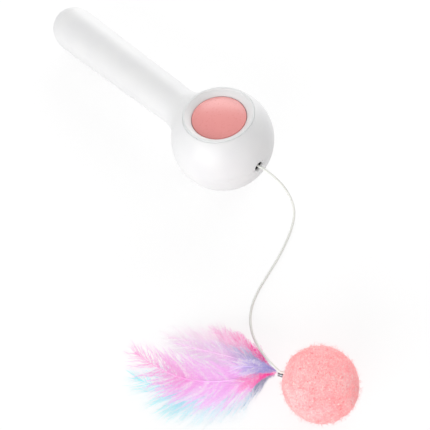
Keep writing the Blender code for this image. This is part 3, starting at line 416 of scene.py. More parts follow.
def rubber():
    look = Look("rubber", IOR=1.5)
    specks = look.grain(2200, 5, 0.7)
    look.use("Base Color", look.ramp(specks, 0.3, 0.7, 0.020, 0.045))
    look.use("Roughness", look.ramp(specks, 0.3, 0.7, 0.62, 0.8))
    look.bump(specks, 0.2, 0.03 * MM)
    return look.material


def yarn():
    """Braided cotton: fine fibres across strands that the mesh itself raises."""
    look = Look("braided_cord", Sheen_Weight=0.6, Sheen_Roughness=0.45, IOR=1.45)
    fibres = look.grain(5200, 4, 0.65, 1.2)
    soft = look.grain(240, 2)
    tint = look.mix(look.ramp(fibres, 0.3, 0.75), shade(236, 238, 231), shade(252, 253, 249))
    look.use("Base Color", look.mix(soft, tint, shade(244, 246, 239)))
    look.use("Roughness", look.ramp(fibres, 0.3, 0.7, 0.7, 0.88))
    look.bump(fibres, 0.45, 0.05 * MM)
    return look.material


# Painted glow: wool and down glow with these shares of their colours, for light passed from fibre to fibre
FELT_PAINTED_GLOW = 0.24
DOWN_PAINTED_GLOW = 0.14


def felt():
    """Needle-felted wool: matted fibres, needle pits and a mottled dye, with painted shade in the pits and a
    painted glow.
    """
    look = Look(
        "wool_felt", Sheen_Weight=0.4, Sheen_Roughness=0.4, Sheen_Tint=shade(255, 236, 232), IOR=1.45,
        Emission_Strength=FELT_PAINTED_GLOW)
    clouds = look.grain(90, 3, 0.6)
    wisps = look.grain(760, 4, 0.65, 1.5)
    flecks = look.grain(1150, 3, 0.6, 2.5)
    ground = look.mix(look.ramp(clouds, 0.35, 0.68), shade(253, 165, 170), shade(255, 188, 190))
    # Darker where the bump is low: painted shade in the needle pits
    ground = look.mix(look.ramp(wisps, 0.34, 0.46, 1.0, 0.0), ground, shade(236, 98, 108))
    ground = look.mix(look.ramp(flecks, 0.52, 0.66), ground, shade(255, 236, 228))
    look.use("Base Color", ground)
    # Painted glow: the felt glows in its own colour
    look.use("Emission Color", ground)
    look.use("Roughness", look.ramp(wisps, 0.3, 0.7, 0.88, 1.0))
    look.bump(look.math("ADD", wisps, look.math("MULTIPLY", flecks, 0.6)), 0.8, 0.4 * MM)
    return look.material


def fibre(red, green, blue):
    """One fibre's colour in a mass that shows this colour, where light passes from fibre to fibre."""
    return (*(value**0.76 for value in shade(red, green, blue)[:3]), 1.0)


def down(name, spread, colours):
    """Dyed marabou. The four colours are at a barb's root and tip near the ferrule, then at the far end, and
    spread is where along the quill the near ones end and the far ones begin."""
    look = Look(
        name, Sheen_Weight=0.7, Sheen_Roughness=0.3, IOR=1.4, Roughness=0.9, Emission_Strength=DOWN_PAINTED_GLOW)
    near_root, near_tip, far_root, far_tip = (fibre(*c) for c in colours)
    along, tone = look.value("along"), look.value("tone")
    run = look.ramp(look.value("run"), *spread)
    near = look.mix(along, near_root, near_tip)
    far = look.mix(along, far_root, far_tip)
    body = look.mix(run, near, far)
    streaks = look.grain(1400, 3, 0.6)
    body = look.mix(look.ramp(streaks, 0.35, 0.75, 0.0, 0.2), body, fibre(255, 246, 252))
    deep = look.mix(look.ramp(tone, 0.1, 0.45, 0.9, 0.0), body, look.mix(run, near_root, far_root))
    pale = look.mix(look.ramp(tone, 0.62, 0.82, 0.0, 0.85), deep, fibre(255, 250, 253))
    colour = look.mix(look.value("quill"), pale, fibre(250, 244, 246))
    look.use("Base Color", colour)
    # Painted glow: the down glows in its own colour
    look.use("Emission Color", colour)
    return look.material


WHITE = plastic("satin_white", shade(240, 240, 241), shade(243, 243, 243), 0.34, 0.42)
PINK = plastic("satin_pink", shade(248, 152, 149), shade(251, 156, 152), 0.26, 0.32, bump=0.06, coat=0.8)
# The bezel's copy of the white plastic, a little darker and less red: painted shade in the dish, against the
# button's pink bounce light
RING_WHITE_PAINTED_SHADE = plastic("satin_ring_painted_shade", shade(238, 240, 240), shade(241, 243, 243), 0.34, 0.42)
INNER = plastic("moulded_inner", shade(224, 224, 222), shade(230, 230, 227), 0.42, 0.52)
LINER = plastic("black_liner", shade(20, 20, 21), shade(30, 30, 31), 0.34, 0.44)
STEEL = metal("drawn_steel", shade(176, 177, 180), shade(214, 214, 216), 0.24, 0.36, (1, 1, 0.2))
PLATED = metal("zinc_plated", shade(184, 186, 190), shade(222, 222, 222), 0.28, 0.42)
CHROME = metal("polished_chrome", shade(104, 104, 108), shade(150, 150, 154), 0.05, 0.11, (0.4, 0.4, 1))
RUBBER = rubber()
YARN = yarn()
FELT = felt()

CAD_LOOKS = {
    "inner_plastic": INNER, "liner_plastic": LINER, "brake_rubber": RUBBER, "spring_steel": STEEL,
    "plated_steel": PLATED, "cord_yarn": YARN, "white_plastic": WHITE, "pink_plastic": PINK, "chrome": CHROME,
}
for part in frame["record"]["subparts"]:
    if part["material_slot"] in CAD_LOOKS:
        node = frame["nodes"][part["node"]]
        node.data.materials.clear()
        node.data.materials.append(CAD_LOOKS[part["material_slot"]])


# Shells

SEAM = 0.03 * MM
SEAM_EDGE = 0.12 * MM
HOLE_FILLET = 0.25 * MM
BOSS_R = 3.1 * MM
WELL_R = 2.9 * MM
WELL_TOP = -8.0 * MM
# Where the screws are, seen along the head's own axis: round the reel, and in the grip
SCREW_RING_R = 23.5 * MM
SCREW_PLACES = [
    *(polar(SCREW_RING_R, math.radians(a)) for a in (50, -50, 130, -130)),
    *((-share * GRIP_L, 0) for share in (0.48, 0.87)),
]


def wand_profile(offset):
    """The wand's outline, from the eyelet's pole to the grip's end, moved inwards by offset."""
    slope, level = math.tan(GRIP_TAPER), math.cos(GRIP_TAPER)
    end_r = GRIP_END_R - offset
    head_r = HEAD_R - offset
    fillet_r = NECK_FILLET_R + offset
    raised = end_r / level - slope * GRIP_L + fillet_r / level
    a, b, c = 1 + slope**2, -2 * slope * raised, raised**2 - (head_r + fillet_r) ** 2
    centre_s = (-b - math.sqrt(b * b - 4 * a * c)) / (2 * a)
    centre = (raised - slope * centre_s, centre_s)
    meet = math.atan2(centre[1], centre[0])
    head = arc((0, 0), head_r, math.pi / 2, meet, 56)
    neck = arc(centre, fillet_r, meet + math.pi, math.pi + GRIP_TAPER, 16)
    end = arc((0, -GRIP_L), end_r, GRIP_TAPER, -math.pi / 2, 24)
    (from_r, from_x), (to_r, to_x) = neck[-1], end[0]
    steps = 14
    straight = [
        (from_r + (to_r - from_r) * k / steps, from_x + (to_x - from_x) * k / steps) for k in range(1, steps)]
    points = head + neck[1:] + straight + end
    return [(0, points[0][1]), *points[1:-1], (0, points[-1][1])]


def shell_half(name, side):
    """One half of the shells, with the seam's small chamfers. side is 1 for the upper half."""
    steps = 88
    loops = []
    for (outer_r, outer_x), (inner_r, inner_x) in zip(wand_profile(0), wand_profile(WALL)):
        seam = min(SEAM, outer_r / 3)
        edge = min(SEAM_EDGE, outer_r / 3)
        start = math.asin((seam + edge) / outer_r) if outer_r else 0
        outer = arc((0, 0), outer_r, start, math.pi - start, steps)
        start = math.asin(min(SEAM, inner_r / 3) / inner_r) if inner_r else 0
        inner = arc((0, 0), inner_r, math.pi - start, start, steps)
        loops.append([
            (outer_x, outer_r - edge, seam), *((outer_x, *point) for point in outer),
            (outer_x, -(outer_r - edge), seam), *((inner_x, *point) for point in inner)])
    verts = np.array(loops)
    verts[:, :, 2] *= side
    bm = bmesh.new()
    made = [bm.verts.new(v) for v in verts.reshape(-1, 3)]
    quads = ring_quads(*verts.shape[:2])[0]
    for quad in quads:
        bm.faces.new([made[i] for i in quad])
    bmesh.ops.remove_doubles(bm, verts=bm.verts, dist=1e-7)
    bmesh.ops.dissolve_degenerate(bm, edges=bm.edges, dist=1e-7)
    bmesh.ops.recalc_face_normals(bm, faces=bm.faces)
    return add_bmesh(name, bm, WHITE)


def hole_cutter(radius, depth):
    """A cutter for a round hole in the head's sphere whose mouth is filleted into it."""
    z = math.sqrt((HEAD_R - HOLE_FILLET) ** 2 - (radius + HOLE_FILLET) ** 2)
    centre = (radius + HOLE_FILLET, z)
    out = math.atan2(centre[1], centre[0])
    mouth = arc(centre, HOLE_FILLET, math.pi, out, 6)
    far = (mouth[-1][0] + 4 * MM * math.cos(out), mouth[-1][1] + 4 * MM * math.sin(out))
    top = HEAD_R + 6 * MM
    return [(0, depth), (radius, depth), *mouth, far, (far[0], top), (0, top)]


def build_shells():
    upper = shell_half("shell_upper", 1)
    lower = shell_half("shell_lower", -1)
    cut_turned(upper, hole_cutter(BEZEL_R + 0.05 * MM, 14 * MM), Matrix(), 192)
    for shell in (upper, lower):
        cut_turned(shell, hole_cutter(EYELET_R + 0.1 * MM, 20 * MM), ALONG_X, 96)

    for x, y in SCREW_PLACES:
        place = Matrix.Translation((x, y, 0))
        cut_turned(lower, rod(BOSS_R, -0.3 * MM, boss_end(x, y)), place, 48, "UNION")
        # The well's cutter ends far below the grip or the head
        below = (-27 if x < -HEAD_R else -35) * MM
        well = rounded([(0, WELL_TOP), (WELL_R, WELL_TOP, 0.3 * MM), (WELL_R, below), (0, below)])
        cut_turned(lower, well, place, 48)
    below_floor = rod(40 * MM, 0, -9 * MM)
    cut_turned(lower, below_floor, HEAD.inverted(), 64)
    for shell, node in ((upper, "upper_shell"), (lower, "lower_shell")):
        shell.data.transform(HEAD)
        shade_round(shell.data, 32)
        fit(shell, "root", "white_plastic", node)


def boss_end(x, y):
    """How low a screw boss may reach inside the lower shell's wall."""
    if x < -HEAD_R:
        radius, off_axis = GRIP_END_R, BOSS_R
    else:
        radius, off_axis = HEAD_R, math.hypot(x, y) + BOSS_R
    return -math.sqrt((radius - 0.6 * WALL) ** 2 - off_axis**2)


def build_screws():
    """The case screws, whose heads face down at the bottom of their wells."""
    head_r, shank_r, tip_r = 2.3 * MM, 1.1 * MM, 0.5 * MM
    top, thread_end, tip = 1.5 * MM, -13.2 * MM, -14.3 * MM
    profile = rounded([
        (0, top), (head_r, top, 0.35 * MM), (head_r, 0, 0.1 * MM), (shank_r, 0), (shank_r, thread_end),
        (tip_r, tip), (0, tip)])
    slot = Matrix.Translation((0, 0, top)) @ Matrix.Diagonal((3.0 * MM, 0.6 * MM, 1.6 * MM, 1))
    for index, (x, y) in enumerate(SCREW_PLACES):
        screw = lathe(f"case_screw_visual_{index + 1}", profile, Matrix(), PLATED, 48)
        for turn in (0, math.pi / 2):
            bm = bmesh.new()
            bmesh.ops.create_cube(bm, size=1, matrix=Matrix.Rotation(turn, 4, "Z") @ slot)
            cut(screw, add_bmesh("bar", bm, None))
        screw.data.transform(
            HEAD @ Matrix.Translation((x, y, WELL_TOP - 0.3 * MM)) @ Matrix.Rotation(math.pi, 4, "X")
            @ Matrix.Rotation(0.7 * index, 4, "Z"))
        shade_round(screw.data, 35)
        fit(screw, "root", "plated_steel", f"case_screw_{index + 1}")


# Bezel, button and eyelet

def build_bezel():
    lip_z = math.sqrt(HEAD_R**2 - BEZEL_R**2) + 0.12 * MM
    shoulder = lip_z - 3.1 * MM
    inner = BUTTON_R + 0.28 * MM
    bottom = BUTTON_BOTTOM + 0.05 * MM
    # The dished wall bows gently from the lip down to the gap round the button
    dish_r, dish_z = BEZEL_R - 1.35 * MM, lip_z - 0.45 * MM
    foot_r, foot_z = inner + 0.25 * MM, BUTTON_RIM_Z - 0.1 * MM
    dish = [
        (dish_r + (foot_r - dish_r) * t, dish_z + (foot_z - dish_z) * (0.62 * t + 0.38 * t * t))
        for t in np.linspace(0, 1, 14)
    ]
    lip = rounded([
        (BEZEL_R, shoulder), (BEZEL_R, lip_z, 0.6 * MM), (dish_r + 0.12 * MM, lip_z, 0.5 * MM), dish[0]], 8)
    skirt = 18.2 * MM
    profile = [
        (skirt, shoulder), *lip[:-1], *dish, (inner, BUTTON_RIM_Z - 0.4 * MM), (inner, bottom),
        (skirt, bottom)]
    bezel = lathe("bezel", profile, HEAD, RING_WHITE_PAINTED_SHADE, 224, 50)
    fit(bezel, "root", "white_plastic", "bezel_ring")


def build_button():
    edge_r = 0.55 * MM
    rim = BUTTON_R - edge_r
    sphere_r = (rim**2 + BUTTON_DOME**2) / (2 * BUTTON_DOME)
    top = BUTTON_RIM_Z + BUTTON_DOME
    crease_r, crease_width, crease_depth = 14.1 * MM, 0.28 * MM, 0.05 * MM
    dome = []
    for r in np.linspace(0, rim, 56):
        z = top - sphere_r + math.sqrt(sphere_r**2 - r * r)
        dome.append((r, z - crease_depth * math.exp(-(((r - crease_r) / crease_width) ** 2))))
    start = math.asin(rim / sphere_r)
    edge = arc((rim, BUTTON_RIM_Z - edge_r), edge_r, math.pi / 2 - start, 0, 10)
    inner = 14.0 * MM
    profile = [
        *dome[:-1], *edge, (BUTTON_R, BUTTON_BOTTOM), (inner, BUTTON_BOTTOM),
        (inner, BUTTON_RIM_Z - 1.5 * MM), (0, BUTTON_RIM_Z - 0.8 * MM)]
    button = lathe("button", profile, HEAD, PINK, 192, 50)
    fit(button, "button", "pink_plastic", "button_cap")


def build_button_spring():
    """The button's return spring, between its carrier and the bridge plate below."""
    turn = np.linspace(0, 2 * math.pi * SPRING_TURNS, 32 * SPRING_TURNS + 1)
    height = np.linspace(SPRING_LOW, SPRING_HIGH, len(turn))
    line = np.stack([SPRING_R * np.cos(turn), SPRING_R * np.sin(turn), height], axis=1)
    verts, quads, ends = tube(line, np.full(len(line), SPRING_WIRE / 2), 10)
    spring = add_mesh("return_spring", verts, [quads, ends], STEEL)
    spring.data.transform(HEAD)
    face_outwards(spring)
    fit(spring, "root", "spring_steel", "button_spring")
    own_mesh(spring)


def build_eyelet():
    flange_r = 5.2 * MM
    flange_front = math.sqrt((HEAD_R - WALL) ** 2 - flange_r**2) - 0.3 * MM
    flange_back = flange_front - 1.0 * MM
    tail = flange_back - 2.4 * MM
    bore, flare = 3.0 * MM, 0.32 * MM
    mouth = [
        (bore + flare * (1 - math.cos(a)), EYELET_FACE - 0.5 * MM + 0.42 * MM * math.sin(a))
        for a in np.linspace(0, math.radians(84), 10)
    ]
    profile = [
        *arc((EYELET_R - 0.25 * MM, EYELET_FACE - 0.22 * MM), 0.25 * MM, math.pi / 2, 0, 8),
        (EYELET_R, flange_front), (flange_r, flange_front), (flange_r, flange_back), (EYELET_R, flange_back),
        (EYELET_R, tail), (bore, tail), *mouth,
    ]
    eyelet = lathe("cord_eyelet", profile, HEAD @ ALONG_X, WHITE, 96, 50)
    fit(eyelet, "root", "white_plastic", "eyelet")

    # The dark liner, whose collar behind the eyelet's tail widens like a trumpet
    inner, outer, top, turn = 1.9 * MM, 2.7 * MM, EYELET_FACE - 1.3 * MM, 0.6 * MM
    collar_front, collar_back, trumpet = tail - 0.3 * MM, tail - 1.1 * MM, 1.2 * MM
    profile = [
        *arc((inner + turn, top - turn), turn, math.pi, math.pi / 2, 8), (outer, top), (outer, collar_front),
        (EYELET_R, collar_front), (EYELET_R, collar_back),
        *arc((inner + trumpet, collar_back + trumpet), trumpet, -math.pi / 2, -math.pi, 10)]
    liner = lathe("eyelet_bush", profile, HEAD @ ALONG_X, LINER, 72, 50)
    fit(liner, "root", "liner_plastic", "eyelet_liner")


# Cord

def cord_route():
    """The free cord's own route, from the eyelet to the ball, as points a small step apart."""
    start = EYELET_FACE - 2.5 * MM
    exits = [HEAD @ Vector((x, 0, 0)) for x in (start, EYELET_FACE)]
    entry = [TOY @ Vector((x, 0, CORD_RISE)) for x in (CORD_IN + 2.4 * MM, CORD_IN, CORD_IN - 4.0 * MM)]
    return smooth_points([*exits, *CORD_ROUTE, *entry], CORD_STEP)


def build_cord():
    """A round braid: two sets of strands wind opposite ways and lift each other where they cross."""
    line = cord_route()
    run = travelled(line)
    tangents = unit(np.gradient(line, axis=0))
    across = np.zeros_like(line)
    across[0] = np.cross(tangents[0], (0, 0, 1))
    for i in range(1, len(line)):
        across[i] = across[i - 1] - tangents[i] * np.dot(across[i - 1], tangents[i])
        across[i] /= np.linalg.norm(across[i])
    sides, strands, lay_l, relief = 28, 4, 2.3 * MM, 0.055 * MM
    turn, wind = strands * ring_angles(sides), 2 * math.pi / lay_l * run[:, None]
    ridges = [np.abs(wave) ** 0.7 * np.sign(wave) for wave in (np.cos(turn + wind), np.cos(turn - wind))]
    radii = CORD_D / 2 - 0.05 * MM + relief * np.maximum(*ridges)
    verts, quads, ends = sweep(line, tangents, across, radii)
    cord = add_mesh("braided_cord", verts, [quads, ends], YARN)
    face_outwards(cord)
    fit(cord, "root", "cord_yarn", "free_cord")
    return cord, line, float(run[-1])


# Felt ball

def build_ball():
    centre = Vector((0, 0, BALL_R - FERRULE_Z))
    bm = bmesh.new()
    bmesh.ops.create_icosphere(bm, subdivisions=7, radius=BALL_R)
    for vert in bm.verts:
        way = vert.co.normalized()
        lumps = noise.fractal(way * 1.7 + Vector((3.1, 0.4, 7.2)), 0.9, 2.0, 3)
        dents = noise.fractal(way * 7.0 + Vector((1.3, 5.4, 2.2)), 0.8, 2.1, 3)
        pits = noise.noise(way * 34.0 + Vector((9.3, 2.4, 1.2)))
        fine = noise.noise(way * 90.0)
        swell = 0.46 * MM * lumps + 0.26 * MM * dents - 0.22 * MM * max(0, pits) + 0.06 * MM * fine
        vert.co = way * (BALL_R - 0.15 * MM + swell)
        vert.co.z = max(vert.co.z, -BALL_R + 0.05 * MM)
        vert.co += centre
    ball = add_bmesh("wool_ball", bm, FELT)
    for radius, low, z in (
            (FERRULE_R + 0.05 * MM, BALL_R - 3.2 * MM, 0),
            (CORD_D / 2 + 0.06 * MM, CORD_IN - 4.2 * MM, CORD_RISE)):
        bore = rod(radius, BALL_R + 4 * MM, low)
        cut_turned(ball, bore, Matrix.Translation((0, 0, z)) @ ALONG_X, 24)
    ball.data.transform(TOY)
    shade_round(ball.data)
    fit(ball, "root", "pink_felt", "felt_ball")
    return ball


def build_fuzz():
    """Loose wool fibres that lie over the ball in swirls and stand off its outline."""
    count, points = 5200, 6
    way = unit(RANDOM.normal(size=(count, 3)))
    # One noise for each axis, because Blender's own vector noise changes from run to run
    shifts = [Vector(shift) for shift in ((4.0, 1.0, 2.0), (13.3, -1.5, -5.9), (-6.3, 8.2, 11.4))]
    swirl = np.array([[noise.noise(Vector(w) * 1.6 + shift) for shift in shifts] for w in way])
    heading = swirl + RANDOM.normal(size=(count, 3)) * 0.35
    length = RANDOM.uniform(1.2, 4.2, count) * MM
    loose = RANDOM.random(count) < 0.28
    lift = np.where(loose, RANDOM.uniform(0.35, 0.85, count), RANDOM.uniform(0.0, 0.12, count))
    curl = RANDOM.normal(size=(count, 3))
    lines = np.empty((count, points, 3))
    place = way * (BALL_R - 0.12 * MM)
    for k in range(points):
        lines[:, k] = place
        out = unit(place)
        flat = unit(heading - out * np.sum(heading * out, axis=1, keepdims=True))
        step = unit(flat + out * (lift * (1 - 0.5 * k / points))[:, None])
        place = place + step * (length / (points - 1))[:, None]
        heading = flat + 0.35 * curl
    heights = lengths_of(lines)
    lines *= np.maximum(heights, BALL_R - 0.05 * MM) / heights
    widths = np.where(loose, 0.19 * MM, 0.11 * MM)[:, None] * np.linspace(1.0, 0.4, points)[None, :]
    lines = lines + np.array([0, 0, BALL_R - FERRULE_Z])

    # None is left in the ferrule's way or the cord's, or under the floor
    keep = np.min(lines[:, :, 2], axis=1) > -FERRULE_Z + 0.1 * MM
    for mouth, gap in (((BALL_R, 0, 0), 3.4 * MM), ((CORD_IN, 0, CORD_RISE), 1.8 * MM)):
        keep &= np.min(np.linalg.norm(lines - np.array(mouth), axis=2), axis=1) > gap
    verts, quads = ribbons(lines[keep], widths[keep], way[keep][:, None, :])
    fuzz = add_mesh("wool_fuzz", verts, [quads], FELT)
    fuzz.data.transform(TOY)
    fit(fuzz, "root", "pink_felt")
    return fuzz


# Ferrule and feathers

def build_ferrule():
    low, high, bore = BALL_R - 3.0 * MM, FERRULE_MOUTH, 1.22 * MM
    bead, groove, turn = FERRULE_R + 0.05 * MM, FERRULE_R - 0.12 * MM, 0.1 * MM
    profile = rounded([
        (bore, low), (bore, high, 0.13 * MM), (bead, high, 0.16 * MM),
        (bead, high - 0.45 * MM, turn), (groove, high - 0.62 * MM, turn), (groove, high - 1.0 * MM, turn),
        (FERRULE_R, high - 1.2 * MM, turn), (FERRULE_R, low)], 5)
    ferrule = lathe("quill_ferrule", profile, TOY @ ALONG_X, CHROME, 64, 50)
    fit(ferrule, "root", "chrome", "ferrule")
    return ferrule


# Each feather: name, layer from the floor up, its quill's place round the ring, its fan angle at the ferrule,
# its bend over its length, then in mm its length, how far it is bare and its barbs' length, the number of
# barbs, their angles to the quill at the near end, the middle and the far end, where its colours change
# along it, and its four colours.
FEATHERS = (
    ("aqua", 0, -39, 60, -20, 34, 3, 11, 150, (20, 34, 26), (0.1, 0.7),
     ((116, 124, 156), (170, 184, 206), (170, 206, 220), (214, 242, 246))),
    ("cyan", 1, -90, 44, -54, 78, 14, 22, 440, (52, 62, 34), (0.35, 0.9),
     ((214, 232, 242), (220, 250, 252), (100, 238, 244), (206, 252, 253))),
    ("hot_pink", 2, -141, -35, 18, 44, 3, 13, 300, (14, 28, 26), (0.4, 0.95),
     ((252, 28, 160), (253, 84, 182), (250, 120, 194), (247, 196, 226))),
    ("blush", 3, 167, -24, 34, 64, 17, 18, 400, (34, 42, 30), (0.25, 0.6),
     ((248, 126, 196), (246, 184, 222), (252, 216, 241), (255, 240, 250))),
    ("sky", 4, None, -12, 14, 58, 5, 13, 360, (12, 40, 28), (0.2, 0.5),
     ((138, 136, 196), (200, 192, 226), (244, 196, 238), (232, 226, 243))),
    ("orchid", 5, 13, 38, -62, 80, 11, 21, 460, (40, 50, 36), (0.45, 0.85),
     ((244, 176, 240), (251, 202, 247), (250, 112, 198), (252, 190, 236))),
    ("rose", 6, 64, 44, -10, 26, 2.8, 9, 150, (10, 22, 24), (0.25, 0.9),
     ((255, 40, 160), (252, 110, 196), (244, 168, 226), (248, 196, 240))),
    ("lilac", 7, 116, 8, 4, 24, 2.8, 10, 170, (12, 28, 26), (0.3, 0.9),
     ((146, 136, 212), (202, 190, 236), (214, 184, 238), (242, 198, 243))),
)
FEATHER_LAYER = 1.5 * MM
FEATHER_REST_Z = 6.2 * MM
FEATHER_DROOP_L = 50.0 * MM
FEATHER_SPREAD_L = 11.0 * MM
QUILL_RING_R = 0.78 * MM
QUILL_SUNK = 2.0 * MM
QUILL_R = 0.2 * MM
SHAFT_RISE = 0.65 * MM
FAN_L = 8.0 * MM
BARB_POINTS = 11
BARBULE_GAP = 0.16 * MM
BARBULE_WIDTH = 0.12 * MM
BARBS_IN_LOCK = 3


def layer_height(x, layer):
    """How high above the ferrule's axis a feather of this layer runs, and how far its layers have spread."""
    share = np.clip(x / FEATHER_DROOP_L, 0, 1)
    droop = (FERRULE_Z - FEATHER_REST_Z) * share**2 * (3 - 2 * share)
    spread = np.clip((x - QUILL_SUNK) / FEATHER_SPREAD_L, 0, 1)
    middle = (len(FEATHERS) - 1) / 2
    return (layer - middle) * FEATHER_LAYER * spread - droop, spread


def quill_line(slot, fan, bend, length, points=60):
    """A quill's places in plan, with its heading at each. It reaches its fan angle over its first part."""
    share = np.linspace(0, 1, points)
    heading = np.radians(fan * np.minimum(1, share / (FAN_L / length)) ** 2 + bend * share)
    step = length / (points - 1)
    x = -QUILL_SUNK + np.concatenate([[0], np.cumsum(np.cos(heading[:-1]) * step)])
    y = slot[0] + np.concatenate([[0], np.cumsum(np.sin(heading[:-1]) * step)])
    return share, x, y, heading


def barb_lines(quill, layer, slot, length, bare, barb_l, barbs, angles):
    """The barbs' lines, in locks that share their lie, with each barb's place on the quill and its length."""
    share, qx, qy, heading = quill
    rank = np.arange(barbs)
    side = np.where(rank % 2, 1.0, -1.0)
    # The barbs stand further apart along the last third of the quill
    place = np.interp((rank + RANDOM.random(barbs)) / barbs, (0, 0.82, 1), (0, 0.64, 1))
    root = (bare + (length - bare) * place) / length
    lock = (rank // 2) // BARBS_IN_LOCK * 2 + rank % 2
    locks = lock.max() + 1
    middle = np.array([root[lock == k].mean() for k in range(locks)])[lock]

    # The last barbs splay round the quill's tip
    splay = np.clip((root - 0.9) / 0.1, 0, 1)
    fill = np.interp(root, (0, 0.25, 0.45, 0.8, 1), (0.9, 1, 1, 0.8, 0.42))
    size = barb_l * fill * RANDOM.uniform(0.7, 1.1, barbs) * RANDOM.uniform(0.9, 1.08, locks)[lock]
    lean = np.interp(root, (0, 0.45, 1), np.radians(angles))
    lean = (lean + RANDOM.normal(0, 0.07, locks)[lock] + RANDOM.normal(0, 0.09, barbs)) * (1 - 0.6 * splay)
    gather = np.clip((middle - root) * length * np.sin(lean) / size, -0.3, 0.3) * 0.5

    u = np.linspace(0, 1, BARB_POINTS)[None, :]
    sway = RANDOM.normal(0, 0.16, locks)[lock][:, None]
    wave = sway * np.sin(u * RANDOM.uniform(2.5, 5, locks)[lock][:, None])
    wave = wave + RANDOM.normal(0, 0.15, barbs)[:, None] * np.sin(u * RANDOM.uniform(5, 12, barbs)[:, None])
    direction = np.interp(root, share, heading)[:, None] + side[:, None] * (
        lean[:, None] * (1 - 0.42 * u) - gather[:, None] * u) + wave
    step = (size / (BARB_POINTS - 1))[:, None]
    x = np.interp(root, share, qx)[:, None] + np.zeros((1, BARB_POINTS))
    y = np.interp(root, share, qy)[:, None] + np.zeros((1, BARB_POINTS))
    x[:, 1:] += np.cumsum(np.cos(direction[:, :-1]) * step, axis=1)
    y[:, 1:] += np.cumsum(np.sin(direction[:, :-1]) * step, axis=1)
    low, spread = layer_height(x, layer)
    lift = (RANDOM.normal(0, 0.35 * MM, locks)[lock] + RANDOM.normal(0, 0.12 * MM, barbs))[:, None] * u**1.3
    z = low + slot[1] * (1 - spread) + lift * spread - 0.6 * MM * u**2
    return np.stack([FERRULE_MOUTH + x, y, z], axis=2), root, size, lock


def barbules(lines, root, size):
    """Short soft hairs all along the barbs: the barb that each grows from, where, and its own line."""
    thin = np.clip((root - 0.6) / 0.3, 0, 1)
    each = np.maximum(4, (size / BARBULE_GAP * (1 - 0.7 * thin)).astype(int))
    owner = np.repeat(np.arange(len(lines)), each)
    count = len(owner)
    at = 0.02 + 0.98 * RANDOM.random(count) ** 1.25
    position = at * (BARB_POINTS - 1)
    cell = np.minimum(position.astype(int), BARB_POINTS - 2)
    share = (position - cell)[:, None]
    base = lines[owner, cell] * (1 - share) + lines[owner, cell + 1] * share
    forward = unit(lines[owner, cell + 1] - lines[owner, cell])
    sideways = RANDOM.normal(size=(count, 3)) * np.array([1, 1, 0.06])
    sideways = unit(sideways - forward * np.sum(sideways * forward, axis=1, keepdims=True))
    direction = forward * RANDOM.uniform(0.4, 1.6, count)[:, None] + sideways
    # They get shorter towards the barb's tip, and along the last third of the quill
    reach = RANDOM.uniform(1.0, 2.6, count) * MM * (1 - 0.75 * at) * (1 - 0.7 * thin[owner])
    return owner, at, base, direction, reach


def join_parts(parts):
    """One set of vertices, faces and values by vertex from several such sets."""
    offset, verts, faces, values = 0, [], [], []
    for part_verts, part_faces, *part_values in parts:
        verts.append(part_verts)
        faces += [group + offset for group in part_faces]
        values.append(part_values)
        offset += len(part_verts)
    return np.concatenate(verts), faces, [np.concatenate(each) for each in zip(*values)]


def build_feather(row, cord_line):
    name, layer, slot_angle, fan, bend, length, bare, barb_l, barbs, angles, change, colours = row
    length, bare, barb_l = length * MM, bare * MM, barb_l * MM
    slot = (0, 0) if slot_angle is None else polar(QUILL_RING_R, math.radians(slot_angle))
    quill = quill_line(slot, fan, bend, length)
    share, qx, qy = quill[:3]
    height, spread = layer_height(qx, layer)
    # The shaft lies on top of its own barbs, a little thicker outside the ferrule
    line = np.stack([FERRULE_MOUTH + qx, qy, height + slot[1] * (1 - spread) + SHAFT_RISE * spread], axis=1)
    radii = QUILL_R * (1 + 0.7 * spread) * (1 - 0.85 * share) ** 0.8
    verts, quads, ends = tube(line, radii, 6)
    run = np.repeat(share, 6)
    none = np.zeros(len(verts))
    parts = [(verts, [quads, ends], run, none, none, np.clip(1.1 - 2.6 * run, 0.1, 1))]

    lines, root, size, lock = barb_lines(quill, layer, slot, length, bare, barb_l, barbs, angles)
    # Whole locks differ in tone near the ferrule, and single barbs on the long plumes
    by_lock = 0.7 if length < 50 * MM else 0.3
    tone = by_lock * RANDOM.random(lock.max() + 1)[lock] + (1 - by_lock) * RANDOM.random(barbs)
    widths = np.linspace(0.17, 0.06, BARB_POINTS)[None, :] * MM + np.zeros((barbs, 1))
    verts, quads = ribbons(lines, widths)
    along = np.tile(np.repeat(np.linspace(0, 1, BARB_POINTS), 2), barbs)
    parts.append((
        verts, [quads], np.repeat(root, 2 * BARB_POINTS), along, np.repeat(tone, 2 * BARB_POINTS),
        np.zeros(len(verts))))

    owner, at, base, direction, reach = barbules(lines, root, size)
    verts, tris = blades(base, direction, reach, BARBULE_WIDTH)
    parts.append((
        verts, [tris], np.repeat(root[owner], 3), np.repeat(np.clip(at + 0.08, 0, 1), 3),
        np.repeat(tone[owner], 3), np.zeros(len(verts))))

    verts, faces, values = join_parts(parts)
    verts = verts @ np.array(TOY.to_3x3()).T + np.array(TOY.translation)
    verts = clear_of(press_under(verts, cord_line), cord_line)
    verts[:, 2] = np.maximum(verts[:, 2], 0.15 * MM)
    feather = add_mesh("marabou_" + name, verts, faces, down("down_" + name, change, colours))
    for label, value in zip(("run", "along", "tone", "quill"), values):
        attribute = feather.data.attributes.new(label, "FLOAT", "POINT")
        attribute.data.foreach_set("value", np.asarray(value, np.float32))
    fit(feather, "root", "down_" + name, "feather_" + name)
    return feather


def nearest(points, line, reach):
    """The points that may be within reach of a line: which they are, the line's point that is nearest to
    each, and how far away it is."""
    low, high = line.min(axis=0) - reach, line.max(axis=0) + reach
    near = np.where(np.all((points > low) & (points < high), axis=1))[0]
    closest = np.concatenate([
        np.linalg.norm(points[chunk][:, None] - line, axis=2).argmin(axis=1)
        for chunk in np.array_split(near, len(near) // 4000 + 1)
    ])
    return near, closest, np.linalg.norm(points[near] - line[closest], axis=1)


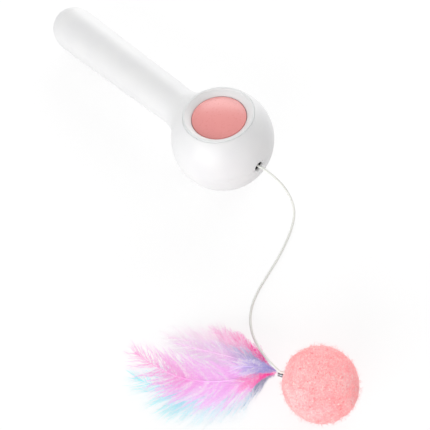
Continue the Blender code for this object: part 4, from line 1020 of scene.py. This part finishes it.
def press_under(points, cord_line, reach=5.5 * MM):
    """Lowers the points near the cord's last stretch, seen from above, as if it lies on them."""
    line = cord_line[-CORD_STEPS_OVER_FEATHERS:]
    near, closest, span = nearest(points[:, :2], line[:, :2], reach)
    gap, tent_r = 1.1 * MM, 4.0 * MM
    limit = line[closest, 2] - gap + (span / tent_r) ** 2 * tent_r
    over = np.where(span < reach, points[near, 2] - limit, 0)
    squeezed = limit - 0.25 * MM * np.log1p(np.maximum(over, 0) / MM)
    out = points.copy()
    out[near, 2] = np.where(over > 0, squeezed, points[near, 2])
    return out


def clear_of(points, line, distance=0.95 * MM):
    """Moves points that are closer than this to the line straight away from it."""
    near, closest, span = nearest(points, line, distance)
    inside = span < distance
    moved, middle = near[inside], line[closest[inside]]
    away = (points[moved] - middle) / np.maximum(span[inside], 1e-9)[:, None]
    out = points.copy()
    out[moved] = middle + away * distance
    return out


# Stage

def build_floor():
    """A white floor, which fades to plain white away from the object so that its far edge doesn't show."""
    half = 4.0
    corners = [(x * half, y * half, -0.2 * MM) for x, y in ((-1, -1), (1, -1), (1, 1), (-1, 1))]
    floor = add_mesh("floor", corners, [[(0, 1, 2, 3)]], None)
    material = bpy.data.materials.new("white_floor")
    material.use_nodes = True
    tree = material.node_tree
    tree.nodes.clear()
    where = add_node(tree, "TexCoord").outputs["Object"]
    away = add_node(tree, "VectorMath", {0: where}, operation="LENGTH").outputs["Value"]
    fade = add_node(tree, "MapRange", {
        "Value": away, "From Min": 0.4, "From Max": 1.6, "To Min": 0.73, "To Max": 0.95})
    glow = add_node(tree, "Emission", {"Strength": fade.outputs["Result"]})
    seen = add_node(tree, "BsdfDiffuse", {"Color": (0.34, 0.34, 0.34, 1)})
    shown = add_node(tree, "AddShader", {0: seen.outputs[0], 1: glow.outputs[0]})
    bounce = add_node(tree, "BsdfDiffuse", {"Color": (0.70, 0.70, 0.70, 1)})
    either = add_node(tree, "MixShader", {0: seen_rays(tree), 1: bounce.outputs[0], 2: shown.outputs[0]})
    add_node(tree, "OutputMaterial", {"Surface": either.outputs[0]})
    floor.data.materials.append(material)


def build_lights():
    world = bpy.data.worlds.new("studio")
    bpy.context.scene.world = world
    world.use_nodes = True
    tree = world.node_tree
    background = tree.nodes["Background"]
    background.inputs["Color"].default_value = (1, 1, 1, 1)
    strength = add_node(tree, "Mix", {
        "Factor": seen_rays(tree), "A": sky_level(tree, overhead=0.50, more_at_horizon=0.30), "B": 1.0})
    tree.links.new(strength.outputs["Result"], background.inputs["Strength"])

    soft_box("front_box", azimuth=285, elevation=16, distance=0.90, width=0.84, height=0.54, level=0.60)
    soft_box("back_box", azimuth=117, elevation=20, distance=0.80, width=1.08, height=0.56, level=0.60)


def sky_level(tree, overhead, more_at_horizon):
    """The sky's light, which grows with the square of the way down from overhead to the horizon."""
    way = add_node(tree, "TexCoord").outputs["Generated"]
    value = add_node(tree, "SeparateXYZ", {0: way}).outputs["Z"]
    for operation, amount in (
            ("MAXIMUM", 0.0), ("SUBTRACT", 1.0), ("POWER", 2.0), ("MULTIPLY_ADD", more_at_horizon)):
        value = add_node(tree, "Math", {0: value, 1: amount, 2: overhead}, operation=operation).outputs[0]
    return value


def seen_rays(tree):
    """1 for rays from the camera and for reflections and refractions, and 0 for light."""
    path = add_node(tree, "LightPath").outputs
    value = path["Is Camera Ray"]
    for name in ("Is Glossy Ray", "Is Transmission Ray"):
        value = add_node(tree, "Math", {0: value, 1: path[name]}, operation="MAXIMUM").outputs[0]
    return value


def soft_box(name, azimuth, elevation, distance, width, height, level):
    """A rectangular lamp that lights a white surface facing it to this share of white."""
    target = Vector((0.0, -0.02, 0.03))
    light = bpy.data.lights.new(name, "AREA")
    light.shape = "RECTANGLE"
    light.size, light.size_y = width, height
    flat, rise = polar(distance, math.radians(elevation))
    away = Vector((*polar(flat, math.radians(azimuth)), rise))
    light.energy = level * math.pi**2 * away.length_squared
    lamp = bpy.data.objects.new(name, light)
    lamp.location = target + away
    lamp.rotation_euler = away.to_track_quat("Z", "Y").to_euler()
    bpy.context.scene.collection.objects.link(lamp)


def build_camera():
    """The photograph's view: 51.5 degrees round, 60.2 up, rolled by 6."""
    azimuth, elevation, roll = (math.radians(a) for a in (51.48, 60.20, -5.96))
    flat = math.cos(elevation)
    back = Vector((math.sin(azimuth) * flat, -math.cos(azimuth) * flat, math.sin(elevation)))
    right = Vector((math.cos(azimuth), math.sin(azimuth), 0))
    up = back.cross(right)
    across = right * math.cos(roll) + up * math.sin(roll)
    over = up * math.cos(roll) - right * math.sin(roll)
    data = bpy.data.cameras.new("camera")
    data.lens = 58.605
    data.sensor_width = 36
    data.sensor_fit = "HORIZONTAL"
    data.clip_start = 0.01
    camera = bpy.data.objects.new("camera", data)
    rotation = Matrix((across, over, back)).transposed().to_4x4()
    camera.matrix_world = Matrix.Translation((0.1821, -0.1564, 0.3600)) @ rotation
    bpy.context.scene.collection.objects.link(camera)
    bpy.context.scene.camera = camera


build_camera()
build_shells()
build_screws()
build_bezel()
build_button()
build_button_spring()
build_eyelet()
cord, cord_line, cord_length = build_cord()
ball = build_ball()
fuzz = build_fuzz()
ferrule = build_ferrule()
feathers = [build_feather(row, cord_line) for row in FEATHERS]
# The two longest plumes aren't named as pieces on this one
build_floor()
build_lights()
bpy.context.scene.view_settings.view_transform = "Standard"
